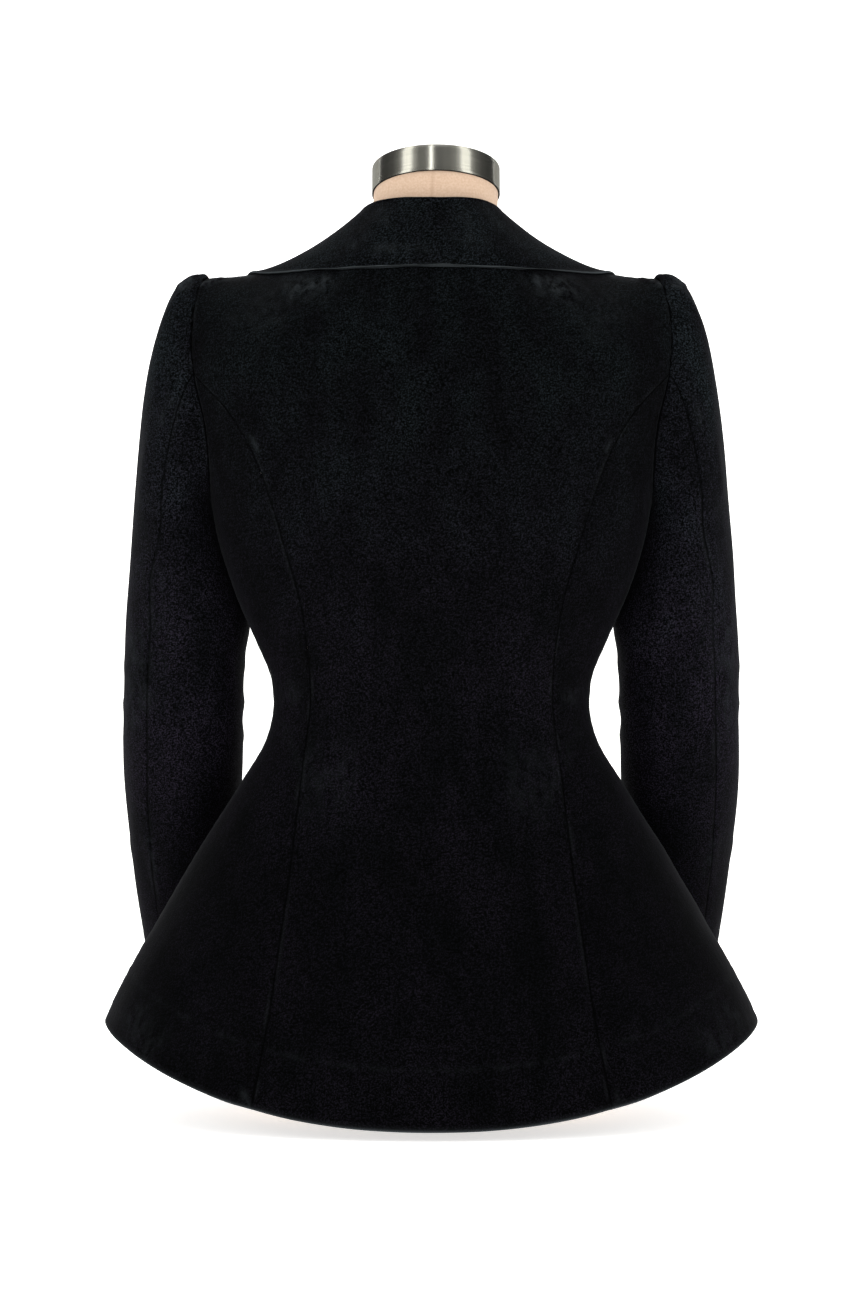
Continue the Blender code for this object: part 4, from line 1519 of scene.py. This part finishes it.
PLEATS = rows_of(
    Pleat,
    (-34, 6, 0.0016), (-22, 4.5, 0.0022), (-11, 4, 0.0026), (-2, 3.4, 0.002), (8, 4, 0.0028),
    (18, 4.5, 0.0026), (30, 6, 0.002), (44, 7, 0.0012),
)
SLEEVE_CREASES = seen(Crease, View.BEHIND,
    (0.216, 0.699, 0.201, 0.7085, 0.0022, 0.0015), (0.214, 0.6985, 0.202, 0.699, 0.0022, 0.0012),
    (0.212, 0.702, 0.199, 0.7035, 0.0018, -0.0012), (0.215, 0.605, 0.229, 0.578, 0.004, 0.0011),
    (0.248, 0.235, 0.239, 0.185, 0.004, 0.001), (0.242, 0.24, 0.235, 0.19, 0.004, -0.0007),
) + seen(Crease, View.SIDE,
    (-0.09, 0.36, -0.035, 0.345, 0.006, 0.0012), (-0.093, 0.342, -0.04, 0.332, 0.005, -0.001),
    (-0.096, 0.326, -0.05, 0.318, 0.006, 0.0011), (-0.085, 0.385, -0.03, 0.378, 0.008, 0.0008),
    (-0.055, 0.535, -0.015, 0.565, 0.007, 0.0008), (0.015, 0.52, 0.035, 0.57, 0.007, 0.0009),
    (-0.13, 0.205, -0.085, 0.225, 0.006, 0.0006),
)
# Painted highlights on the crests of the sleeve's creases and head pleats, and along its lighter
# outer side
SLEEVE_MARKS = seen(Mark, View.BEHIND,
    (0.215, 0.607, 0.227, 0.58, 0.0026, 0.3), (0.253, 0.43, 0.256, 0.32, 0.01, 0.22),
    (0.24, 0.65, 0.25, 0.46, 0.014, 0.1), (0.235, 0.47, 0.24, 0.34, 0.016, 0.08),
    (0.244, 0.23, 0.237, 0.19, 0.0024, 0.3), (0.216, 0.6995, 0.201, 0.7085, 0.0026, 1),
    (0.214, 0.699, 0.202, 0.6993, 0.0024, 0.9),
)


@dataclass
class Sleeves:
    """Both two-piece sleeves, with their raised and pleated heads."""

    grids: BodyGrids
    velvet: bpy.types.Material
    step: float = 0.0031
    hind_turn: float = 60.0
    fore_turn: float = 235.0
    corners: tuple[float, ...] = (178.0, 290.0, 360.0)
    marks: tuple[float, ...] = (0.0, 7.0, 12.0, 14.0, 17.0, 24.0)
    fan: float = 0.55
    pleat_at: float = 0.93
    pleat_reach: float = 0.16
    valley: float = 0.8
    valley_at: float = 1.25
    puff_reach: float = 0.08
    crown_width: float = 0.75
    head_length: float = 0.20
    crowding: float = 1.3
    tuck: float = 0.0028
    seam_gap: float = 0.0002
    clear: float = -0.0004
    puff: float = 0.0022
    overhang: float = 0.0040
    seam_drop: float = -3.0
    seam_swing: float = 18.0
    swing_reach: float = 40.0
    swing_from: float = 0.84
    hem_turn: float = 0.030
    rings: Table = field(default_factory=lambda: Table(SLEEVE_RINGS))
    lines: Table = field(default_factory=lambda: Table(HEAD_LINES))

    def armhole(self) -> tuple[Array, Array]:
        """The armhole from the shoulder down the back, under the arm and up the front.

        Returns:
            Its points, and each point's mark from the first of the marks to the last.
        """
        g = self.grids
        yoke, lower = g.yoke_rows, len(g.back_lower) - 1
        columns = spread(g.side_width, g.step)
        parts = [
            (g.back[lower:, -1][::-1], self.marks[1] * (1 - yoke[::-1])),
            (g.side_back[-1], mix(self.marks[1], self.marks[2], columns)),
            (g.side_front[-1], mix(self.marks[2], self.marks[4], columns)),
            (g.front_under[lower:, 0], mix(self.marks[4], self.marks[5], yoke)),
        ]
        points = np.concatenate([part[0] for part in parts])
        return points, np.concatenate([part[1] for part in parts])

    def ends(self, turns: Array) -> Array:
        """Where columns at these turns, in degrees, end on the armhole.

        Args:
            turns: the turns round the sleeve.

        Returns:
            The points on the armhole.
        """
        marks = np.interp(
            turns % 360.0,
            [0.0, self.hind_turn, self.corners[0], self.fore_turn, self.corners[1], 360.0],
            self.marks,
        )
        points, at = self.armhole()
        return np.stack([np.interp(marks, at, points[:, axis]) for axis in range(3)], axis=-1)

    def ring_point(self, along: Array, turn: Array) -> Array:
        """Points of the tube below the underarm.

        Args:
            along: how far up the sleeve.
            turn: the turn round it.

        Returns:
            The points.
        """
        x, y, z, half_width, half_depth, pitch = self.rings.at(along)
        pitch = np.radians(pitch)
        back = half_depth * np.sin(turn)
        return points_of(
            x + half_width * np.cos(turn), y + back * np.cos(pitch), z - back * np.sin(pitch)
        )

    def pleated(self, turns: Array, t: Array) -> Array:
        """How far the pleats stand out at these turns, in degrees, and shares of the head.

        Args:
            turns: the turns round the sleeve.
            t: the shares of the head.

        Returns:
            How far out, in metres.
        """
        near = from_top(turns)
        rise = np.zeros(np.broadcast(near, t).shape)
        for pleat in PLEATS:
            fan = pleat.turn * (1 + self.fan * (1 - t))
            away = (near - fan) / pleat.width
            rise += pleat.depth * (bump(away, 1) - self.valley * bump(away - self.valley_at, 1))
        return rise * bump(t - self.pleat_at, self.pleat_reach)

    def swung(self, turns: Array, along: Array) -> Array:
        """The turns, with the hind-arm seam swung in toward the body near the armhole.

        Args:
            turns: the turns in degrees.
            along: how far up the sleeve.

        Returns:
            The turns in radians.
        """
        near = bump(from_top(turns) - self.hind_turn, self.swing_reach)
        share = along / SLEEVE_RINGS[-1].along
        rise = np.clip((share - self.swing_from) / (1 - self.swing_from), 0, 1)
        swing = self.seam_drop + self.seam_swing * eased(rise)
        return np.radians(turns + swing * near)

    def head(self, turns: Array, ends: Array, t: Array) -> Array:
        """Points of the sleeve's head, from the underarm ring (0) to the armhole (1).

        Args:
            turns: the turns in degrees.
            ends: where each column ends.
            t: the shares of the head.

        Returns:
            The grid's points.
        """
        top = SLEEVE_RINGS[-1].along
        turn = self.swung(turns, np.array(top))
        start = self.ring_point(top, turn)
        up = unit(start - self.ring_point(top - 0.01, turn))
        foot, crest = self.grids.body.underarm, SHOULDER[-1].height
        rise, reach, lead = self.lines.at((ends[:, 2] - foot) / (crest - foot))
        end = ends + np.array([self.seam_gap, 0.0, 0.0])
        away = unit(points_of(1.0, 0.25 * np.sin(turn), rise))
        first = start + up * lead[:, None]
        second = end + away * reach[:, None]
        t = t[:, None, None]
        point = hermite(start, (first - start) * 3, end, (end - second) * 3, t)
        crown = bump(np.sin(turn), self.crown_width) * np.maximum(0.0, np.cos(turn))
        lift = crown[None, :, None] * bump(t - self.pleat_at, self.puff_reach)
        pleats = self.pleated(turns[None, :], t[..., 0])[..., None]
        return point + lift * np.array([-self.overhang, 0.0, self.puff]) + away * pleats

    def grid(self, first: float, last: float, width: float) -> Array:
        """The outer points of a piece between two turns, in degrees.

        Args:
            first: the turn at the piece's lower side.
            last: the turn at its upper side.
            width: its real width.

        Returns:
            The grid's points, from the cuff up.
        """
        shares = spread(width, self.step)
        turns = mix(last, first, shares)
        for corner in self.corners:
            nearest = int(np.argmin(np.abs(turns - corner)))
            if first < corner < last:
                turns[nearest] = corner
        ends = self.ends(turns)
        tree = tree_of([part[::2, ::2] for part in self.grids.left(self.grids.front_under)])
        top = SLEEVE_RINGS[-1].along
        rows = spread(top, self.step, fine_end=False)[:, None] * top
        tube = held_off(tree, self.ring_point(rows, self.swung(turns[None], rows)), self.clear)
        shares = spread(self.head_length, self.step, fine_start=False)[1:]
        t = 1 - (1 - shares) ** self.crowding
        head = self.head(turns, ends, t)
        near = 0.3 * np.linalg.norm(head - ends, axis=-1)
        head[:-1] = held_off(tree, head[:-1], np.minimum(self.clear, near)[:-1])
        return np.concatenate([tube, head])

    def build(self) -> None:
        """Makes the top and the under piece of both sleeves."""
        pieces = (
            ("top_sleeve", self.fore_turn, 360.0 + self.hind_turn, 0.17, (0.325, 0.655), 0.097),
            ("under_sleeve", self.hind_turn, self.fore_turn, 0.16, (0.17, 0.57), 0.070),
        )
        for name, first, last, width, flat, area in pieces:
            points = self.grid(first, last, width)
            sides = (("left", points, list, 0.6), ("right", mirrored(points), swapped, 3.3))
            for side, grid, turn, phase in sides:
                Sheet(
                    f"{name}_panel_{side}",
                    (f"{name}_{side}",),
                    grid,
                    flat,
                    area,
                    rests_on=("side_back_panel_" + side,),
                    bottom=Edge.TURNED,
                    hem_line=self.hem_turn,
                    creases=turn(SLEEVE_CREASES),
                    marks=turn(SLEEVE_MARKS),
                    phase=phase,
                    wander=0.0004,
                    nap=1.7,
                    low_painted_shade=0.42,
                    tuck=self.tuck,
                ).build(self.velvet)


# Collar


COLLAR_CREASES = seen(Crease, View.BEHIND,
    (0.036, 0.76, 0.046, 0.742, 0.006, 0.0007), (0.064, 0.744, 0.072, 0.73, 0.006, 0.0008),
    (0.09, 0.726, 0.12, 0.714, 0.005, 0.0005), (-0.06, 0.746, -0.076, 0.726, 0.007, 0.0006),
)
# Painted highlights on the crests of the collar's creases, and patches of pile lying the other way
COLLAR_MARKS = seen(Mark, View.BEHIND,
    (0.034, 0.758, 0.042, 0.744, 0.0075, 0.22), (0.058, 0.742, 0.068, 0.726, 0.0065, 0.34),
    (0.052, 0.724, 0, 0.722, 0.004, 0.22), (0.084, 0.74, 0.13, 0.722, 0.008, 0.2),
    (-0.084, 0.74, -0.13, 0.722, 0.008, 0.2), (-0.02, 0.75, -0.05, 0.73, 0.02, 0.1),
)


@dataclass
class Collar:
    """The wide shawl collar: it stands behind the neck, rolls over and falls to its edge."""

    grids: BodyGrids
    velvet: bpy.types.Material
    clear: float = 0.0028
    roll_radius: float = 0.003
    neck_share: float = 0.38
    yoke_share: float = 0.76
    sections: int = 190
    easing: int = 70
    ease: float = 0.6
    edge_ease: float = 0.12
    edge_from: float = 0.97
    stand: float = 0.025
    fall: float = 0.075
    step: float = 0.0026
    folds: Table = field(default_factory=lambda: Table(COLLAR_FOLDS))

    def neckline(self, along: Array, side: float) -> Array:
        """The neckline from the centre back (0) past the neck point to the break (1).

        Args:
            along: the shares of the neckline.
            side: 1 over at the front closing, -1 under.

        Returns:
            The points.
        """
        body = self.grids.body
        points = np.zeros((len(along), 3))
        for index, share in enumerate(along):
            if share <= self.neck_share:
                turn = share / self.neck_share * math.pi / 2
                points[index] = body.neck_point(body.neck_half * math.sin(turn))
            elif share <= self.yoke_share:
                t = (self.yoke_share - share) / (self.yoke_share - self.neck_share)
                points[index] = self.grids.front_yoke(np.array([0.0]), np.array([t]))[0, 0]
            else:
                part = (share - self.yoke_share) / (1 - self.yoke_share)
                height = mix(body.chest_level, BREAK, part)
                points[index] = body.point(self.grids.closing.angle(height), height, side)
        return points

    def half(self, front: Array, side: float) -> Array:
        """Sections of the left half over this front, from the centre back forward.

        Args:
            front: the front panel's grid.
            side: 1 over at the front closing, -1 under.

        Returns:
            The grid's points, from the outer edge in to the neck seam.
        """
        tree = tree_of([part[::2, ::2] for part in self.grids.left(front)])
        along = np.linspace(0, COLLAR_FOLDS[-1].along, self.sections + 1)
        tip = COLLAR_FOLDS[-1].along - np.array([0.006, 0.003, 0.0015, 0.0])
        along = np.concatenate([along[:-2], tip])
        roll_x, roll_y, roll_z, edge_x, edge_y, edge_z, loft = self.folds.at(along)
        seam = self.neckline(along, side)
        roll = seam + points_of(roll_x, roll_y, roll_z)
        edge = laid(tree, points_of(edge_x, edge_y, edge_z), self.clear)
        belly = laid(tree, (seam + edge) / 2, loft)
        up = unit(roll - seam)
        out = edge - roll
        out = unit(out - up * np.sum(out * up, axis=-1, keepdims=True))
        centre = roll - up * self.roll_radius
        turns = np.radians(np.linspace(180, 0, 13))[:, None, None]
        curl = centre + (out * np.cos(turns) + up * np.sin(turns)) * self.roll_radius
        foot = seam + up * 0.4 * MM - out * 1.5 * MM
        shares = spread(self.stand, self.step, fine_end=False)[:-1, None, None]
        stand = mix(foot, curl[0], shares)
        pull = belly * 2 - (curl[-1] + edge) / 2
        t = spread(self.fall, self.step, fine_start=False)[1:, None, None]
        fall = curl[-1] * (1 - t) ** 2 + pull * 2 * t * (1 - t) + edge * t**2
        fall = held_off(tree, fall, self.clear)
        ease = np.where(t < self.edge_from, np.clip(2.5 * t, 0, 1), self.edge_ease) * self.ease
        for _ in range(self.easing):
            ahead_and_behind = (fall[:, :-2] + fall[:, 2:]) / 2
            fall[:, 1:-1] = mix(fall[:, 1:-1], ahead_and_behind, ease)
            fall[:, 0, 1:] = mix(fall[:, 0, 1:], fall[:, 1, 1:], ease[:, 0])
        return np.concatenate([stand, curl, fall])[::-1]

    def build(self) -> None:
        """Makes the collar in one piece, from the right front round the neck to the left."""
        left = self.half(self.grids.front_under, -1.0)
        right = mirrored(self.half(self.grids.front_over, 1.0))
        points = np.concatenate([right[:, :-1], left], axis=1)
        Sheet(
            "shawl_collar",
            ("collar",),
            points,
            (1.015, 0.145),
            0.0995,
            rests_on=("back_panel", "front_panel_left", "front_panel_right"),
            bottom=Edge.TURNED,
            top=Edge.HIDDEN,
            first=Edge.TURNED,
            last=Edge.TURNED,
            creases=COLLAR_CREASES,
            marks=COLLAR_MARKS,
            phase=0.9,
            nap=1.3,
        ).build(self.velvet)


# Dress form


@dataclass
class DressForm:
    """The limbless torso with its neck, and the steel cap on it."""

    grids: BodyGrids
    sides: int = 144
    cap_sides: int = 160
    levels: int = 170
    roundness: float = 2.1
    neck_shift: float = -0.0038
    neck_foot: float = 0.700
    gap: float = 0.0027
    cap_radius: float = 0.0543
    cap_height: float = 0.0217
    cap_skirt: float = 0.0016
    cap_rim: float = 0.0005
    cap_tilt: float = math.radians(15.0)
    seam_gap: float = 0.0003
    seam_turn: float = 0.055
    groove: float = 0.0002
    groove_width: float = 0.001
    rings: Table = field(default_factory=lambda: Table(FORM_SECTIONS))

    def torso(self, cover: bpy.types.Material) -> None:
        """Makes the torso: a smooth closed body with a flat base and a seam down its back.

        Args:
            cover: the cover's material.
        """
        g = self.grids
        others = [mirrored(part) for part in (g.side_back, g.side_front, g.front_over)]
        tree = tree_of([part[::2, ::2] for part in (*g.left(g.front_under), *others)])
        top = FORM_SECTIONS[-1].height
        heights = np.linspace(0, top, self.levels)
        middle, half, back, front, tilt = (part[:, None] for part in self.rings.at(heights))
        tilt = np.radians(tilt)
        angle = np.linspace(0, 2 * math.pi, self.sides + 1)[None, :-1]
        power = 2 / self.roundness
        depth = np.where(np.cos(angle) > 0, back, front)
        share = np.clip((heights - self.neck_foot) / (top - self.neck_foot), 0, 1)[:, None]
        x = half * signed_power(np.sin(angle), power) + self.neck_shift * share
        y = depth * signed_power(np.cos(angle), power)
        points = points_of(x, middle + y * np.cos(tilt), heights[:, None] + y * np.sin(tilt))
        points = held_off(tree, points, self.gap, under=True)
        off = (angle - self.seam_turn * share + math.pi) % (2 * math.pi) - math.pi
        seam = np.abs(off) * half
        groove = self.groove * bump(seam, self.groove_width)
        outward = unit(points - points.mean(axis=1, keepdims=True))
        points = points - outward * groove[..., None]
        faces = tube_faces(len(heights), self.sides)
        made = mesh_piece("torso_cover", points.reshape(-1, 3), faces)
        lay_on(made, "edge", np.broadcast_to(0.6 * bump(seam, 0.8 * MM), points.shape[:2]))
        made.data.materials.append(cover)
        keep(made, ("form_torso",))
        log.info("torso_cover: %d faces", len(faces))

    def cap(self, steel: bpy.types.Material) -> None:
        """Makes the steel cap: a drawn cup with rolled rims, square to the tilted neck.

        Args:
            steel: the steel's material.
        """
        neck = FORM_SECTIONS[-1]
        lean = self.cap_tilt
        axis = np.array([0.0, -math.sin(lean), math.cos(lean)])
        side = np.array([1.0, 0.0, 0.0])
        back = np.array([0.0, math.cos(lean), math.sin(lean)])
        foot = np.array([self.neck_shift, neck.middle, neck.height])
        rim, low, high = self.cap_rim, -self.cap_skirt, self.seam_gap + self.cap_height
        quarter = np.radians(np.linspace(0, 90, 6))
        turned = [(rim * (1 - math.sin(a)), rim * (1 - math.cos(a))) for a in quarter]
        lower = [(self.cap_radius - across, low + up) for across, up in turned]
        upper = [(self.cap_radius - across, high - up) for up, across in turned]
        wall = [(self.cap_radius, h) for h in np.linspace(low + rim, high - rim, 8)[1:-1]]
        flat = [(self.cap_radius * s, high) for s in (0.9, 0.7, 0.4, 0.15)]
        under = [(self.cap_radius * 0.4, self.seam_gap), (self.cap_radius * 0.9, self.seam_gap)]
        under.append((self.cap_radius - 2 * rim, low))
        profile = under + lower + wall + upper + flat
        count = self.cap_sides
        turns = np.linspace(0, 2 * math.pi, count + 1)[:-1, None]
        rings = [
            foot + axis * rise + (side * np.sin(turns) + back * np.cos(turns)) * radius
            for radius, rise in profile
        ]
        faces = tube_faces(len(rings), count)
        made = mesh_piece("brushed_neck_cap", np.concatenate(rings), faces)
        spots = np.zeros((len(rings) * count, 2))
        spots[:, 0] = np.tile(np.abs(np.linspace(-1, 1, count + 1)[:-1]) * 0.17, len(rings))
        steps = [math.dist(here, after) for here, after in zip(profile, profile[1:])]
        spots[:, 1] = np.repeat(np.cumsum([0, *steps]), count)
        paint_uv(made, spots)
        made.data.materials.append(steel)
        made.data.materials.append(ShadedSteel().build())
        # The underside and the lower rolled rim take the dark steel: painted shadow under the cap
        for index in range((len(under) + len(lower) - 1) * count + 1):
            made.data.polygons[index].material_index = 1
        keep(made, ("neck_cap",))
        log.info("brushed_neck_cap: %d faces", len(faces))


# Studio


class Card(NamedTuple):
    """A card that only the steel sees: its turn from the camera's side, in degrees."""

    start: float
    end: float
    tone: float


CARDS = rows_of(
    Card,
    (-176, -126, 0.34), (-125, -100, 0.016), (-100, -86, 0.035), (-86, -76, 0.08),
    (-76, -69, 0.2), (-67.5, -49.5, 1.35), (-48, -38, 0.26), (-38, -24, 0.11), (-24, -14, 0.09),
    (-11.8, -8.2, 3.2), (-6, 14, 0.06), (14, 30, 0.1), (30, 42, 0.17), (42, 50, 0.33),
    (51.5, 70, 1.3), (71, 80, 0.2), (80, 92, 0.08), (92, 108, 0.03), (108, 130, 0.01),
    (131, 176, 0.3),
)


@dataclass
class Studio:
    """The paper sweep, the soft lights, the steel's cards and the camera."""

    distance: float = 3.0
    camera_height: float = 0.391
    pixel: float = 0.00085
    frame_height: int = 1303
    card_radius: float = 2.6
    card_low: float = 0.4
    card_high: float = 3.4
    aim_height: float = 0.45
    sky: float = 0.85

    def sweep(self) -> None:
        """Makes the floor and the wall behind it in one curved sheet of paper."""
        radius, far, near = 0.8, -2.6, 5.5
        profile = [(near, 0.0), (far, 0.0)]
        for turn in np.radians(np.linspace(0, 90, 13)[1:]):
            profile.append((far - radius * math.sin(turn), radius * (1 - math.cos(turn))))
        wall, half = 6.0, 5.0
        profile.append((far - radius, wall))
        points = [(x, y, z) for y, z in profile for x in (-half, half)]
        faces = [face[::-1] for face in strip_faces(len(profile) - 1)]
        made = mesh_piece("paper_sweep", np.array(points), faces)
        made.data.materials.append(PaperSweep().build())

    def cards(self) -> None:
        """Stands the cards that give the steel its bands. Only reflections see them."""
        for index, card in enumerate(CARDS):
            turns = np.radians(np.linspace(card.start, card.end, 9))
            points = []
            for turn in turns:
                x, y = -self.card_radius * math.sin(turn), self.card_radius * math.cos(turn)
                points += [(x, y, self.card_low), (x, y, self.card_high)]
            name = f"studio_card_{index}"
            made = mesh_piece(name, np.array(points), strip_faces(len(turns) - 1))
            finish = Finish(name)
            glow = (card.tone, card.tone, card.tone * 0.93, 1)
            look = {"Base Color": BLACK, "Emission Color": glow, "Emission Strength": 1.0}
            finish.fill(finish.shader, look)
            made.data.materials.append(finish.material)
            for hidden_from in ("camera", "diffuse", "shadow", "transmission"):
                setattr(made, "visible_" + hidden_from, False)

    def light(self, name: str, place: Sequence[float], size: float, watts: float) -> None:
        """Adds one soft square light that looks at the jacket's middle.

        Args:
            name: its name.
            place: where it hangs.
            size: its side.
            watts: its strength.
        """
        data = bpy.data.lights.new(name, "AREA")
        data.size = size
        data.energy = watts
        lamp = bpy.data.objects.new(name, data)
        lamp.location = place
        aim = Vector((0.0, 0.0, self.aim_height)) - Vector(place)
        lamp.rotation_euler = aim.to_track_quat("-Z", "Y").to_euler()
        lamp.visible_glossy = False
        bpy.context.scene.collection.objects.link(lamp)

    def build(self) -> None:
        """Sets the whole studio."""
        self.sweep()
        self.cards()
        self.light("soft_left", (2.4, 2.2, 1.5), 1.8, 20.0)
        self.light("soft_right", (-2.4, 2.2, 1.5), 1.8, 20.0)
        self.light("soft_top", (0.0, 0.4, 3.2), 2.4, 14.0)
        self.light("wall_wash", (0.0, -1.2, 3.0), 3.0, 40.0)
        world = bpy.data.worlds.new("white_studio")
        world.use_nodes = True
        sky = world.node_tree.nodes["Background"]
        sky.inputs["Color"].default_value = WHITE
        sky.inputs["Strength"].default_value = self.sky
        scene = bpy.context.scene
        scene.world = world
        scene.view_settings.view_transform = "Standard"
        data = bpy.data.cameras.new("camera")
        data.sensor_fit = "VERTICAL"
        data.angle = 2 * math.atan(self.frame_height * self.pixel / 2 / self.distance)
        data.clip_start = 0.05
        camera = bpy.data.objects.new("camera", data)
        camera.location = (0.0, self.distance, self.camera_height)
        camera.rotation_euler = (math.pi / 2, 0.0, math.pi)
        scene.collection.objects.link(camera)
        scene.camera = camera


def main() -> None:
    """Builds every sub-assembly in order."""
    logging.basicConfig(level=logging.INFO, format="%(name)s: %(message)s")
    velvet = Velvet().build()
    grids = BodyGrids(Body(), step=0.0031)
    JacketBody(grids, velvet).build()
    Sleeves(grids, velvet).build()
    Collar(grids, velvet).build()
    form = DressForm(grids)
    form.torso(FormCloth().build())
    form.cap(BrushedSteel().build())
    Studio().build()


if __name__ == "__main__":
    main()
